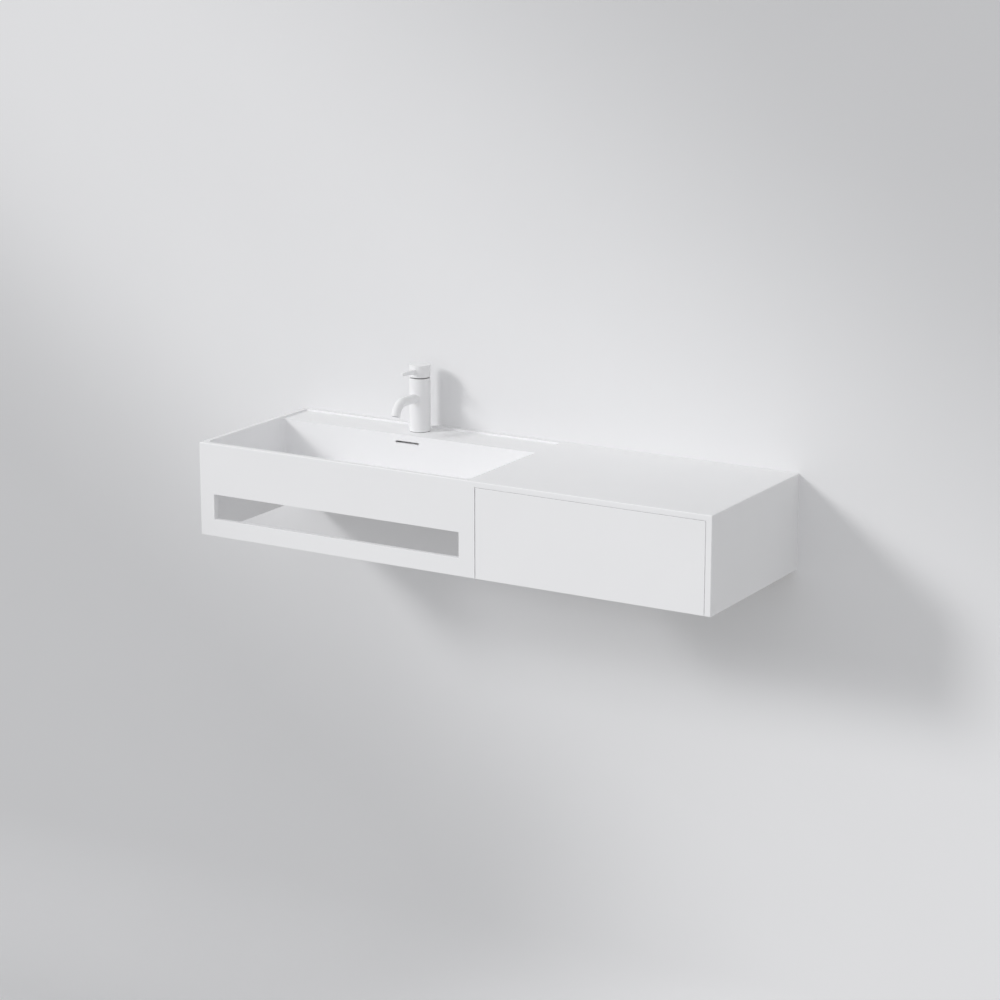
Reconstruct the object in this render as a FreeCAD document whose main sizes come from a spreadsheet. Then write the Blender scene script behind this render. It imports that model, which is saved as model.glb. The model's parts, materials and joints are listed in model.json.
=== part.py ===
"""Wall-hung vanity unit: moulded basin top with towel slot, one drawer and a single-lever tap.

Frame: X along the wall, Y = 0 on the wall and negative towards the room, +Z up.
The origin is the middle of the row of wall bolts, on the wall plane.
"""
import FreeCAD, Part
import math
import os
import re
import Sketcher

V = FreeCAD.Vector
TOLERANCE = 1e-4

doc = FreeCAD.newDocument("vanity_unit")
sheet = doc.addObject("Spreadsheet::Sheet", "sizes")

# Driving dimensions: name, millimetres or degrees, what it measures
SIZES = [
    ("unit_width", 1220, "outer width along the wall"),
    ("unit_depth", 395, "wall to front face"),
    ("unit_height", 203.6, "underside to top"),
    ("bolt_drop", 52, "top to the row of wall bolts"),
    ("bolt_inset", 130, "side of the unit to the outer wall bolts"),
    ("bolt_spaces", 3, "equal spaces between the outer wall bolts"),
    ("bolt_hole_radius", 5.5, "clearance hole of an M10 bolt"),
    ("edge_radius", 2.5, "rounding of the outer edges"),
    ("soft_edge", 1, "rounding of slot, drawer and rim edges"),
    ("apron_share", 0.5619, "share of the width from the left face to the drawer gap"),
    ("front_wall", 12, "front sheet"),
    ("left_panel", 12, "left side sheet and left rim"),
    ("right_panel", 14, "right side sheet"),
    ("divider", 10, "sheet between basin bay and drawer bay"),
    ("counter_thickness", 12, "counter over the drawer"),
    ("recess_depth", 4, "step from the rim down to the tap deck"),
    ("deck_thickness", 12, "tap deck"),
    ("back_rim", 10, "rim along the wall"),
    ("bowl_wall", 10, "rear and right walls of the bowl"),
    ("tap_deck_depth", 101, "wall to the rear edge of the bowl"),
    ("bowl_draft", 1.5, "lean of the bowl walls, degrees"),
    ("bowl_corner", 12, "upright corner rounding of the bowl"),
    ("floor_radius", 8, "rounding between bowl wall and floor"),
    ("floor_thickness", 10, "bowl floor at the drain"),
    ("floor_fall", 4, "fall of the bowl floor to the drain"),
    ("rail_height", 37.8, "towel rail below the slot"),
    ("slot_height", 55.1, "towel slot"),
    ("left_stile", 36, "left face to the towel slot"),
    ("right_stile", 37.5, "towel slot to the drawer gap"),
    ("overflow_length", 59, "overflow slot"),
    ("overflow_height", 4.8, "overflow slot"),
    ("overflow_drop", 20.8, "top to the middle of the overflow slot"),
    ("back_rail_thickness", 18, "bolted rails"),
    ("back_rail_height", 80, "bolted rails"),
    ("lower_rail_thickness", 12, "low rail behind the drawer"),
    ("lower_rail_height", 50, "low rail behind the drawer"),
    ("bolt_plate_side", 50, "square steel plate at each wall bolt"),
    ("bolt_plate_thickness", 4, "square steel plate at each wall bolt"),
    ("drawer_gap", 1.5, "shadow gap left of the drawer front"),
    ("drawer_slit", 0.8, "shadow gap above and right of the drawer front"),
    ("drawer_front_thickness", 12, "drawer front"),
    ("finger_depth", 7, "bevel behind the lower edge of the drawer front"),
    ("finger_height", 16, "bevel behind the lower edge of the drawer front"),
    ("box_board", 12, "boards of the drawer box"),
    ("box_headroom", 32, "counter to the drawer box"),
    ("box_clearance", 26, "drawer box to the low rail behind it"),
    ("box_lift", 18, "underside of the unit to the drawer box"),
    ("base_board", 6, "drawer base"),
    ("base_lift", 12, "box underside to drawer base"),
    ("groove_depth", 6, "groove that holds the drawer base"),
    ("runner_height", 45, "runner section"),
    ("runner_depth", 12.7, "runner section, panel to drawer box"),
    ("runner_sheet", 1.2, "runner steel"),
    ("runner_lip", 5, "turned-in lips of the runner"),
    ("runner_play", 0.3, "play between runner members"),
    ("runner_tail", 4, "back of the drawer box to the runner"),
    ("runner_lift", 78, "underside of the unit to the runner centre"),
    ("runner_setback", 6, "drawer front to the runner"),
    ("screw_radius", 2, "shank of the front fixing screws"),
    ("screw_head_radius", 4, "head of the front fixing screws"),
    ("screw_head_height", 2.4, "head of the front fixing screws"),
    ("screw_bite", 8, "screw length in the drawer front"),
    ("screw_row_spacing", 80, "upper to lower fixing screws"),
    ("screw_inset", 60, "box side to the fixing screws"),
    ("fit_play", 0.05, "radial play of turning and screwed fits"),
    ("drain_hole_radius", 22, "hole in the bowl floor"),
    ("flange_radius", 32, "waste flange"),
    ("flange_thickness", 2.5, "waste flange"),
    ("flange_seal", 1, "seal under the waste flange"),
    ("waste_radius", 20.95, "waste tube, outside of the thread"),
    ("waste_bore", 17.5, "waste tube"),
    ("waste_outlet_length", 13, "free thread for the trap"),
    ("relief_width", 2, "groove above the free thread"),
    ("relief_depth", 0.8, "groove above the free thread"),
    ("waste_port", 6, "overflow ports in the waste tube"),
    ("nut_height", 8, "waste nut"),
    ("nut_flats", 56, "waste nut across flats"),
    ("nut_seal", 2.5, "seal above the waste nut"),
    ("duct_wall", 2, "overflow duct"),
    ("duct_height", 12, "overflow duct under the floor"),
    ("duct_depth", 11, "overflow duct behind the bowl"),
    ("duct_collar_radius", 31, "round end of the duct at the waste"),
    ("duct_margin", 5, "overflow slot to the side of the duct"),
    ("plug_radius", 31, "waste plug"),
    ("plug_thickness", 5, "waste plug"),
    ("plug_lift", 8, "plug above the flange when open"),
    ("plug_seal", 0.8, "ring under the plug"),
    ("plug_seal_radius", 26, "ring under the plug"),
    ("plug_seal_width", 3.2, "ring under the plug"),
    ("plug_stem_radius", 4, "plug stem"),
    ("guide_drop", 20, "flange top to the plug guide"),
    ("guide_height", 6, "plug guide"),
    ("guide_ring", 3, "wall of the guide ring"),
    ("guide_hub_radius", 7, "hub of the plug guide"),
    ("guide_spoke", 4, "spoke of the plug guide"),
    ("stem_collar_radius", 6, "stop on the plug stem"),
    ("stem_collar_height", 3, "stop on the plug stem"),
    ("stop_play", 0.4, "plug stop to the guide, and lever eye to its fork"),
    ("tap_to_wall", 48, "wall to the tap axis"),
    ("tap_hole_radius", 17.5, "hole in the tap deck"),
    ("tap_radius", 23, "tap column and lever cap"),
    ("tap_gasket", 1, "gasket under the tap"),
    ("column_height", 118.2, "tap deck to the top of the column"),
    ("column_chamfer", 1.2, "top edge of the column"),
    ("cartridge_radius", 17.5, "mixing cartridge"),
    ("cartridge_depth", 32, "column top to the cartridge seat"),
    ("cartridge_ring", 4, "height of the cartridge nut"),
    ("cartridge_mouth", 11, "opening of the cartridge nut"),
    ("spanner_notch", 4, "notches of the cartridge nut"),
    ("spindle_radius", 12, "turning spindle in the cartridge"),
    ("spindle_floor", 24, "column top to the foot of the spindle"),
    ("spindle_play", 0.3, "cartridge nut to the spindle"),
    ("cartridge_port", 3.6, "radius of the ports in the cartridge"),
    ("pivot_drop", 15, "column top to the lever pivot"),
    ("pivot_pin_radius", 2, "lever pivot pin"),
    ("stem_radius", 4, "lever stem"),
    ("knuckle_radius", 4.4, "eye of the lever stem"),
    ("knuckle_width", 9, "eye of the lever stem"),
    ("lever_gap", 2.6, "column to lever cap"),
    ("cap_height", 26.2, "lever cap"),
    ("cap_wall", 1.75, "lever cap skirt"),
    ("cap_roof", 3, "lever cap top"),
    ("cap_boss_radius", 7, "boss inside the cap"),
    ("cap_boss_clearance", 6.5, "cap rim to the boss"),
    ("grub_radius", 2, "grub screw that holds the lever"),
    ("bar_height", 13.5, "cap rim to the middle of the lever bar"),
    ("bar_reach", 72, "tap axis to the tip of the lever bar"),
    ("bar_rise", 2.2, "rise of the lever bar to its tip"),
    ("bar_root_width", 8, "lever bar at the cap"),
    ("bar_root_height", 11, "lever bar at the cap"),
    ("bar_tip_width", 6, "lever bar at its tip"),
    ("bar_tip_height", 6.6, "lever bar at its tip"),
    ("spout_radius", 10, "spout tube"),
    ("spout_wall", 1.5, "spout tube"),
    ("spout_height", 76, "tap deck to the spout"),
    ("spout_reach", 68.5, "tap axis to the bend of the spout"),
    ("spout_bend", 29, "bend of the spout"),
    ("spout_turn", 67, "angle of the bend"),
    ("aerator_length", 9.5, "aerator"),
    ("aerator_wall", 1.2, "aerator ring"),
    ("aerator_hole", 0.8, "holes of the aerator"),
    ("inlet_radius", 4.5, "water inlets of the tap"),
    ("inlet_spacing", 18, "between the water inlets"),
    ("inlet_thread", 14, "depth of the inlet threads"),
    ("fixing_radius", 4, "stud that holds the tap"),
    ("fixing_offset", 11.5, "tap axis to the stud"),
    ("fixing_bite", 14, "stud length in the column"),
    ("fixing_tail", 14, "stud length below the nut"),
    ("clamp_radius", 21, "horseshoe clamp"),
    ("clamp_slot", 14.5, "half width of the clamp's slot"),
    ("clamp_plate", 3, "horseshoe clamp"),
    ("clamp_pad", 2, "rubber pad on the clamp"),
    ("fixing_nut_height", 6.5, "nut on the stud"),
    ("fixing_nut_flats", 13, "nut on the stud, across flats"),
]

for row, (alias, number, meaning) in enumerate(SIZES, 1):
    sheet.set(f"A{row}", meaning)
    sheet.set(f"B{row}", str(number))
    sheet.setAlias(f"B{row}", alias)
doc.recompute()
ALIASES = {alias for alias, number, meaning in SIZES}

# Places and fits worked out from the driving dimensions
DERIVED = {
    "bolt_height": "unit_height - bolt_drop",
    "bolt_outer_spacing": "unit_width - 2 * bolt_inset",
    "bolt_inner_spacing": "bolt_outer_spacing / bolt_spaces",
    "apron_width": "apron_share * unit_width",
    "left": "-unit_width / 2",
    "right": "unit_width / 2",
    "front": "-unit_depth",
    "bottom": "-bolt_height",
    "top": "bolt_drop",
    "slot_top": "rail_height + slot_height",
    "block_height": "unit_height - slot_top",
    "deck_drop": "recess_depth + deck_thickness",
    "divider_left": "apron_width - divider",
    "bowl_right": "divider_left - bowl_wall",
    "bowl_back": "unit_depth - tap_deck_depth",
    "bowl_span": "bowl_back - front_wall",
    "block_back": "bowl_back + bowl_wall",
    "bowl_depth": "block_height - floor_thickness - floor_fall",
    "bowl_middle": "(left_panel + bowl_right) / 2",
    "drain_depth": "front_wall + bowl_span / 2",
    "flange_seat": "flange_thickness + flange_seal",
    "bay_left": "left + apron_width",
    "bay_right": "right - right_panel",
    "bay_width": "unit_width - right_panel - apron_width",
    "bay_height": "unit_height - counter_thickness",
    "front_back": "front + drawer_front_thickness",
    "box_depth": "unit_depth - drawer_front_thickness - lower_rail_thickness - box_clearance",
    "box_width": "bay_width - 2 * runner_depth",
    "box_height": "bay_height - box_lift - box_headroom",
    "box_left": "bay_left + runner_depth",
    "box_bottom": "bottom + box_lift",
    "base_top": "base_lift + base_board",
    "runner_front": "front_back + runner_setback",
    "runner_length": "box_depth - runner_setback - runner_tail",
    "runner_inside": "runner_depth / 2 - runner_play / 2",
    "lip_opening": "runner_height / 2 - runner_sheet - runner_lip",
    "tap_x": "left + bowl_middle",
    "tap_y": "-tap_to_wall",
    "deck_z": "top - recess_depth",
    "drain_x": "left + bowl_middle",
    "drain_y": "front + drain_depth",
    "drain_z": "bottom + slot_top + floor_thickness",
    "nut_top": "floor_thickness + duct_height + nut_seal",
    "relief_foot": "nut_top + nut_height + relief_width",
    "waste_length": "relief_foot + waste_outlet_length",
    "duct_half": "overflow_length / 2 + duct_margin",
    "pivot_z": "column_height - pivot_drop",
    "spindle_top": "cartridge_ring + spindle_play",
    "cap_z": "column_height + lever_gap",
    "stem_top": "cap_height - cap_roof - fit_play",
    "nut_z": "deck_thickness + clamp_pad + clamp_plate",
}
WORD = re.compile(r"[a-z][a-z_]*")


def expression(text):
    """Spell a formula of named sizes and places as a formula of sheet cells."""
    def spell(match):
        name = match.group(0)
        if name in ALIASES:
            return f"sizes.{name}"
        if name in DERIVED:
            return f"({expression(DERIVED[name])})"
        return name
    return WORD.sub(spell, str(text))


def value(text):
    """The number that a formula of named sizes gives now."""
    return float(sheet.evalExpression(expression(text)))


def bind(thing, **formulas):
    """Tie properties of an object to formulas of named sizes."""
    for name, formula in formulas.items():
        thing.setExpression(name.replace("__", "."), expression(formula))


def place(thing, x, y, z):
    """Tie an object's origin to formulas of named sizes."""
    bind(thing, Placement__Base__x=x, Placement__Base__y=y, Placement__Base__z=z)


def new_body(label, x, y, z, turned=False):
    """A body whose own axes run along X, Y and Z, or are turned half round about Z."""
    body = doc.addObject("PartDesign::Body", label)
    body.Label = label
    if turned:
        body.Placement = FreeCAD.Placement(V(0, 0, 0), FreeCAD.Rotation(V(0, 0, 1), 180))
    place(body, x, y, z)
    return body


def new_sketch(body, plane, offset="0"):
    """A sketch on one of the body's own planes, moved along that plane's normal."""
    sketch = body.newObject("Sketcher::SketchObject", f"{body.Name}_outline")
    support = next(item for item in body.Origin.OriginFeatures if item.Role == f"{plane}_Plane")
    sketch.AttachmentSupport = [(support, "")]
    sketch.MapMode = "FlatFace"
    bind(sketch, AttachmentOffset__Base__z=offset)
    return sketch


def pin_point(sketch, geometry, point, x, y):
    """Fix one point of a sketch at formulas of named sizes, or leave a coordinate free."""
    for kind, axis, formula in (("DistanceX", -2, x), ("DistanceY", -1, y)):
        if formula is None:
            continue
        if formula == "0":
            sketch.addConstraint(Sketcher.Constraint("PointOnObject", geometry, point, axis))
            continue
        rule = Sketcher.Constraint(kind, -1, 1, geometry, point, value(formula))
        name = f"{kind}_{geometry}_{point}"
        sketch.renameConstraint(sketch.addConstraint(rule), name)
        sketch.setExpression(f"Constraints.{name}", expression(formula))


def polygon(sketch, points):
    """A closed outline through points given as formulas."""
    first = sketch.GeometryCount
    corners = [V(value(x), value(y), 0) for x, y in points]
    count = len(points)
    for index, corner in enumerate(corners):
        sketch.addGeometry(Part.LineSegment(corner, corners[(index + 1) % count]), False)
    for index in range(count):
        following = first + (index + 1) % count
        sketch.addConstraint(Sketcher.Constraint("Coincident", first + index, 2, following, 1))
    for index, (x, y) in enumerate(points):
        pin_point(sketch, first + index, 1, x, y)
    return sketch


def rectangle(sketch, x0, x1, y0, y1):
    """A rectangle between two pairs of formulas."""
    return polygon(sketch, [(x0, y0), (x1, y0), (x1, y1), (x0, y1)])


def rounded_rectangle(sketch, x0, x1, y0, y1, radius):
    """A rectangle whose corners are arcs of one radius."""
    low_x, low_y = f"{x0} + {radius}", f"{y0} + {radius}"
    high_x, high_y = f"{x1} - {radius}", f"{y1} - {radius}"
    sides = [((low_x, y0), (high_x, y0)), ((x1, low_y), (x1, high_y)),
             ((high_x, y1), (low_x, y1)), ((x0, high_y), (x0, low_y))]
    centres = [(high_x, low_y), (high_x, high_y), (low_x, high_y), (low_x, low_y)]
    for start, end in sides:
        ends = [V(value(x), value(y), 0) for x, y in (start, end)]
        line = sketch.addGeometry(Part.LineSegment(*ends), False)
        pin_point(sketch, line, 1, *start)
        pin_point(sketch, line, 2, *end)
    quarter = math.pi / 2
    for line, (x, y) in enumerate(centres):
        bend = Part.Circle(V(value(x), value(y), 0), V(0, 0, 1), value(radius))
        arc = sketch.addGeometry(Part.ArcOfCircle(bend, (line - 1) * quarter, line * quarter), False)
        sketch.addConstraint(Sketcher.Constraint("Coincident", line, 2, arc, 1))
        sketch.addConstraint(Sketcher.Constraint("Coincident", arc, 2, (line + 1) % 4, 1))
        pin_point(sketch, arc, 3, x, None)
    return sketch


def circle(sketch, x, y, radius):
    """A circle whose centre and radius are formulas."""
    centre = V(value(x), value(y), 0)
    index = sketch.addGeometry(Part.Circle(centre, V(0, 0, 1), value(radius)), False)
    pin_point(sketch, index, 3, x, y)
    name = f"Radius_{index}"
    rule = Sketcher.Constraint("Radius", index, value(radius))
    sketch.renameConstraint(sketch.addConstraint(rule), name)
    sketch.setExpression(f"Constraints.{name}", expression(radius))
    return sketch


def hexagon(sketch, x, y, flats):
    """A hexagon nut outline across given flats, with two flats square to Y."""
    half = f"({flats}) / 2"
    corner = f"({flats}) / sqrt(3)"
    return polygon(sketch, [
        (f"{x} + {corner}", y),
        (f"{x} + {corner} / 2", f"{y} + {half}"),
        (f"{x} - {corner} / 2", f"{y} + {half}"),
        (f"{x} - {corner}", y),
        (f"{x} - {corner} / 2", f"{y} - {half}"),
        (f"{x} + {corner} / 2", f"{y} - {half}"),
    ])


def feature(body, kind, sketch, length, back=False, both=False):
    """Pad or pocket a sketch by a formula, along its normal, against it, or both ways."""
    made = body.newObject(f"PartDesign::{kind}", f"{body.Name}_{kind.lower()}")
    made.Profile = sketch
    made.Reversed = back
    if both:
        made.SideType = "Symmetric"
    bind(made, Length=length)
    return made


def pad(body, sketch, length, back=False, both=False):
    return feature(body, "Pad", sketch, length, back, both)


def pocket(body, sketch, length, back=False, both=False):
    return feature(body, "Pocket", sketch, length, back, both)


def revolve(body, points):
    """Turn an outline of radius and height about the body's own Z axis."""
    sketch = polygon(new_sketch(body, "XZ"), points)
    made = body.newObject("PartDesign::Revolution", f"{body.Name}_turned")
    made.Profile = sketch
    made.ReferenceAxis = (sketch, ["V_Axis"])
    made.Angle = 360
    return made


def around(body, original, count):
    """Repeat a feature round the body's Z axis."""
    pattern = body.newObject("PartDesign::PolarPattern", f"{body.Name}_round")
    pattern.Originals = [original]
    pattern.Axis = (original.Profile[0], ["N_Axis"])
    pattern.Angle = 360
    pattern.Occurrences = round(count)
    body.Tip = pattern
    return pattern


def edges_at(shape, *places):
    """Names of the edges that lie wholly at one of the places, each a dict of axis to formula."""
    wanted = [{axis: value(formula) for axis, formula in place.items()} for place in places]
    names = []
    for number, edge in enumerate(shape.Edges, 1):
        box = edge.BoundBox
        spans = {"x": (box.XMin, box.XMax), "y": (box.YMin, box.YMax), "z": (box.ZMin, box.ZMax)}
        for place in wanted:
            if all(abs(end - at) < TOLERANCE for axis, at in place.items() for end in spans[axis]):
                names.append(f"Edge{number}")
                break
    return names


def soften(body, kind, radius, *places):
    """Fillet or chamfer the edges at the given places of a body's last feature."""
    doc.recompute()
    base = body.Tip
    names = edges_at(base.Shape, *places)
    made = body.newObject(f"PartDesign::{kind}", f"{body.Name}_{kind.lower()}")
    made.Base = (base, names)
    bind(made, **{"Radius" if kind == "Fillet" else "Size": radius})
    return made


def box(label, x, y, z, length, width, height):
    """A plain board with its lowest corner at x, y, z."""
    board = doc.addObject("Part::Box", label)
    board.Label = label
    bind(board, Length=length, Width=width, Height=height)
    place(board, x, y, z)
    return board


def group(label, members):
    """Several like pieces kept as separate solids in one sub-part."""
    made = doc.addObject("Part::Compound", label)
    made.Label = label
    made.Links = members
    return made


def make_basin_top():
    """Moulded top: counter, stepped tap deck, bowl with falling floor and the upper front wall."""
    body = new_body("basin_top", "left", "front", "top")
    pad(body, rectangle(new_sketch(body, "XY"), "0", "unit_width", "0", "unit_depth"),
        "counter_thickness", back=True)
    pad(body, rectangle(new_sketch(body, "XY"), "0", "divider_left", "0", "unit_depth"),
        "deck_drop", back=True)
    pad(body, rectangle(new_sketch(body, "XY"), "0", "divider_left", "0", "block_back"),
        "block_height", back=True)
    pad(body, rectangle(new_sketch(body, "XY"), "0", "apron_width", "0", "front_wall"),
        "block_height", back=True)
    pocket(body, rectangle(new_sketch(body, "XY"), "left_panel", "bowl_right",
                           "front_wall", "unit_depth - back_rim"), "recess_depth")
    soften(body, "Fillet", "bowl_corner", {"x": "left_panel", "y": "front_wall"},
           {"x": "bowl_right", "y": "front_wall"})
    mouth = rounded_rectangle(new_sketch(body, "XY", "-recess_depth"), "left_panel", "bowl_right",
                              "front_wall", "bowl_back", "bowl_corner")
    bowl = pocket(body, mouth, "bowl_depth - recess_depth")
    bind(bowl, TaperAngle="-bowl_draft")
    soften(body, "Fillet", "floor_radius", {"z": "-bowl_depth"})
    fall_bowl_floor(body)
    pocket(body, circle(new_sketch(body, "XY", "-bowl_depth"), "bowl_middle", "drain_depth",
                        "drain_hole_radius"), "block_height")
    pocket(body, circle(new_sketch(body, "XY", "-bowl_depth"), "bowl_middle", "drain_depth",
                        "flange_radius + fit_play"), "floor_fall + flange_seat")
    pocket(body, circle(new_sketch(body, "XY"), "bowl_middle", "unit_depth - tap_to_wall",
                        "tap_hole_radius"), "2 * deck_drop", both=True)
    slot = rectangle(new_sketch(body, "XZ", "-bowl_back + bowl_wall"),
                     "bowl_middle - overflow_length / 2", "bowl_middle + overflow_length / 2",
                     "-overflow_drop - overflow_height / 2", "-overflow_drop + overflow_height / 2")
    pocket(body, slot, "3 * bowl_wall")
    soften(body, "Fillet", "edge_radius", {"y": "0", "z": "0"}, {"x": "0", "z": "0"},
           {"x": "unit_width", "z": "0"}, {"x": "0", "y": "0"}, {"x": "unit_width", "y": "0"})
    return body


def fall_bowl_floor(body):
    """Sink the floor in four planes towards the drain."""
    inset = "floor_radius + bowl_wall"
    rim = rectangle(new_sketch(body, "XY", "-bowl_depth"),
                    f"left_panel + {inset}", f"bowl_right - {inset}",
                    f"front_wall + {inset}", f"bowl_back - {inset}")
    sump = rectangle(new_sketch(body, "XY", "-bowl_depth - floor_fall"),
                     "bowl_middle - flange_radius", "bowl_middle + flange_radius",
                     "drain_depth - flange_radius", "drain_depth + flange_radius")
    fall = body.newObject("PartDesign::SubtractiveLoft", "floor_fall_cut")
    fall.Profile = rim
    fall.Sections = [sump]
    fall.Ruled = True
    return fall


def make_towel_frame():
    """Stiles and towel rail that close the front below the bowl."""
    body = new_body("towel_frame", "left", "front", "bottom")
    outline = polygon(new_sketch(body, "XZ"), [
        ("0", "0"), ("apron_width", "0"), ("apron_width", "slot_top"),
        ("apron_width - right_stile", "slot_top"), ("apron_width - right_stile", "rail_height"),
        ("left_stile", "rail_height"), ("left_stile", "slot_top"), ("0", "slot_top"),
    ])
    pad(body, outline, "front_wall", back=True)
    soften(body, "Fillet", "edge_radius", {"x": "0", "y": "0"})
    soften(body, "Fillet", "soft_edge", {"y": "0", "z": "rail_height"}, {"y": "0", "z": "0"},
           {"y": "front_wall", "z": "rail_height"})
    return body


def make_left_panel():
    """Side sheet that runs low under the bowl and full height behind it."""
    body = new_body("left_side_panel", "left", "front", "bottom")
    outline = polygon(new_sketch(body, "YZ"), [
        ("front_wall", "0"), ("unit_depth", "0"), ("unit_depth", "unit_height - deck_drop"),
        ("block_back", "unit_height - deck_drop"), ("block_back", "slot_top"),
        ("front_wall", "slot_top"),
    ])
    pad(body, outline, "left_panel")
    soften(body, "Fillet", "soft_edge", {"x": "0", "z": "0"})
    return body


def make_right_panel():
    """Side sheet of the drawer bay, with its front edge showing beside the drawer."""
    body = new_body("right_side_panel", "bay_right", "front", "bottom")
    pad(body, rectangle(new_sketch(body, "XY"), "0", "right_panel", "0", "unit_depth"), "bay_height")
    soften(body, "Fillet", "edge_radius", {"x": "right_panel", "y": "0"})
    soften(body, "Fillet", "soft_edge", {"x": "right_panel", "z": "0"}, {"y": "0", "z": "0"},
           {"x": "0", "y": "0"})
    return body


def make_back_rail(label, x, length, drop, bolts):
    """A rail between two side sheets, drilled for the wall bolts."""
    body = new_body(label, x, "-back_rail_thickness", f"top - {drop} - back_rail_height")
    outline = new_sketch(body, "XZ")
    rectangle(outline, "0", length, "0", "back_rail_height")
    for bolt in bolts:
        circle(outline, f"{bolt} - ({x})", f"back_rail_height + {drop} - top", "bolt_hole_radius")
    pad(body, outline, "back_rail_thickness", back=True)
    return body


def make_bolt_plates():
    """Steel plates that spread the pull of the wall bolts over the rails."""
    plates = []
    for number, bolt in enumerate(BOLTS, 1):
        plate = new_body(f"bolt_plate_{number}", bolt, "-back_rail_thickness - bolt_plate_thickness", "0")
        outline = new_sketch(plate, "XZ")
        half = "bolt_plate_side / 2"
        rectangle(outline, f"-{half}", half, f"-{half}", half)
        circle(outline, "0", "0", "bolt_hole_radius")
        pad(plate, outline, "bolt_plate_thickness", back=True)
        plates.append(plate)
    return group("bolt_plates", plates)


def lipped_channel(web, depth):
    """Half-open channel section: web, two flanges and two turned-in lips."""
    half = "runner_height / 2"
    inner = "(runner_height / 2 - runner_sheet)"
    lip = f"{depth} - runner_sheet"
    return [
        (web, f"-{half}"), (depth, f"-{half}"), (depth, "-lip_opening"), (lip, "-lip_opening"),
        (lip, f"-{inner}"), (f"{web} + runner_sheet", f"-{inner}"), (f"{web} + runner_sheet", inner),
        (lip, inner), (lip, "lip_opening"), (depth, "lip_opening"), (depth, half), (web, half),
    ]


def beam_section():
    """Twin-flanged section that runs inside both lipped channels."""
    flange = "(runner_height / 2 - runner_sheet - runner_play)"
    neck = "(lip_opening - runner_play)"
    near = "runner_inside - runner_sheet - runner_play"
    far = f"runner_depth - ({near})"
    return [
        (f"{near} - runner_sheet", f"-{flange}"), (near, f"-{flange}"), (near, f"-{neck}"),
        (far, f"-{neck}"), (far, f"-{flange}"), (f"{far} + runner_sheet", f"-{flange}"),
        (f"{far} + runner_sheet", flange), (far, flange), (far, neck), (near, neck),
        (near, flange), (f"{near} - runner_sheet", flange),
    ]


def make_runner(side, x, turned):
    """One telescopic runner: channel on the panel, beam between, channel on the drawer."""
    y = "runner_front + runner_length" if turned else "runner_front"
    z = "bottom + runner_lift"
    members = []
    for role in ("outer", "middle", "inner"):
        body = new_body(f"runner_{role}_{side}", x, y, z, turned)
        outline = new_sketch(body, "XZ")
        if role == "outer":
            polygon(outline, lipped_channel("0", "runner_inside"))
        elif role == "middle":
            polygon(outline, beam_section())
        else:
            mirrored = [(f"runner_depth - ({px})", pz) for px, pz in lipped_channel("0", "runner_inside")]
            polygon(outline, mirrored)
        pad(body, outline, "runner_length", back=True)
        members.append(body)
    return members


def make_drawer_front():
    """Drawer front with a bevel behind its lower edge for the fingers."""
    body = new_body("drawer_front", "bay_left + drawer_gap", "front", "bottom")
    thickness = "drawer_front_thickness"
    height = "bay_height - drawer_slit"
    outline = polygon(new_sketch(body, "YZ"), [
        ("0", "0"), (f"{thickness} - finger_depth", "0"), (thickness, "finger_height"),
        (thickness, height), ("0", height),
    ])
    width = "bay_width - drawer_gap - drawer_slit"
    pad(body, outline, width)
    for x, z in screw_places("bay_left + drawer_gap", "bottom"):
        hole = circle(new_sketch(body, "XZ", f"-{thickness}"), x, z, "screw_radius + fit_play")
        pocket(body, hole, "screw_bite + fit_play", back=True)
    soften(body, "Fillet", "soft_edge", {"y": "0", "z": "0"}, {"y": "0", "z": height},
           {"x": "0", "y": "0"}, {"x": width, "y": "0"})
    return body


def screw_places(x0, z0):
    """Middles of the four fixing screws of the drawer front, measured from a given corner."""
    middle = "box_bottom + base_top + (box_height - base_top) / 2"
    return [
        (f"{x} - ({x0})", f"{middle} + {step} - ({z0})")
        for x in ("box_left + screw_inset", "box_left + box_width - screw_inset")
        for step in ("-screw_row_spacing / 2", "screw_row_spacing / 2")
    ]


def make_box_side(side, x, turned):
    """Side board of the drawer box, grooved for the base."""
    y = "front_back + box_depth" if turned else "front_back"
    body = new_body(f"drawer_side_{side}", x, y, "box_bottom", turned)
    outline = polygon(new_sketch(body, "XZ"), [
        ("0", "0"), ("box_board", "0"), ("box_board", "base_lift"),
        ("box_board - groove_depth", "base_lift"), ("box_board - groove_depth", "base_top"),
        ("box_board", "base_top"), ("box_board", "box_height"), ("0", "box_height"),
    ])
    pad(body, outline, "box_depth", back=True)
    return body


def make_box_front():
    """Inner front board of the drawer box, grooved for the base and drilled for the screws."""
    x0 = "box_left + box_board"
    body = new_body("drawer_box_front", x0, "front_back", "box_bottom")
    outline = polygon(new_sketch(body, "YZ"), [
        ("0", "0"), ("box_board", "0"), ("box_board", "base_lift"),
        ("box_board - groove_depth", "base_lift"), ("box_board - groove_depth", "base_top"),
        ("box_board", "base_top"), ("box_board", "box_height"), ("0", "box_height"),
    ])
    pad(body, outline, "box_width - 2 * box_board")
    for x, z in screw_places(x0, "box_bottom"):
        hole = circle(new_sketch(body, "XZ"), x, z, "screw_radius + fit_play")
        pocket(body, hole, "2 * box_board")
    return body


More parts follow.
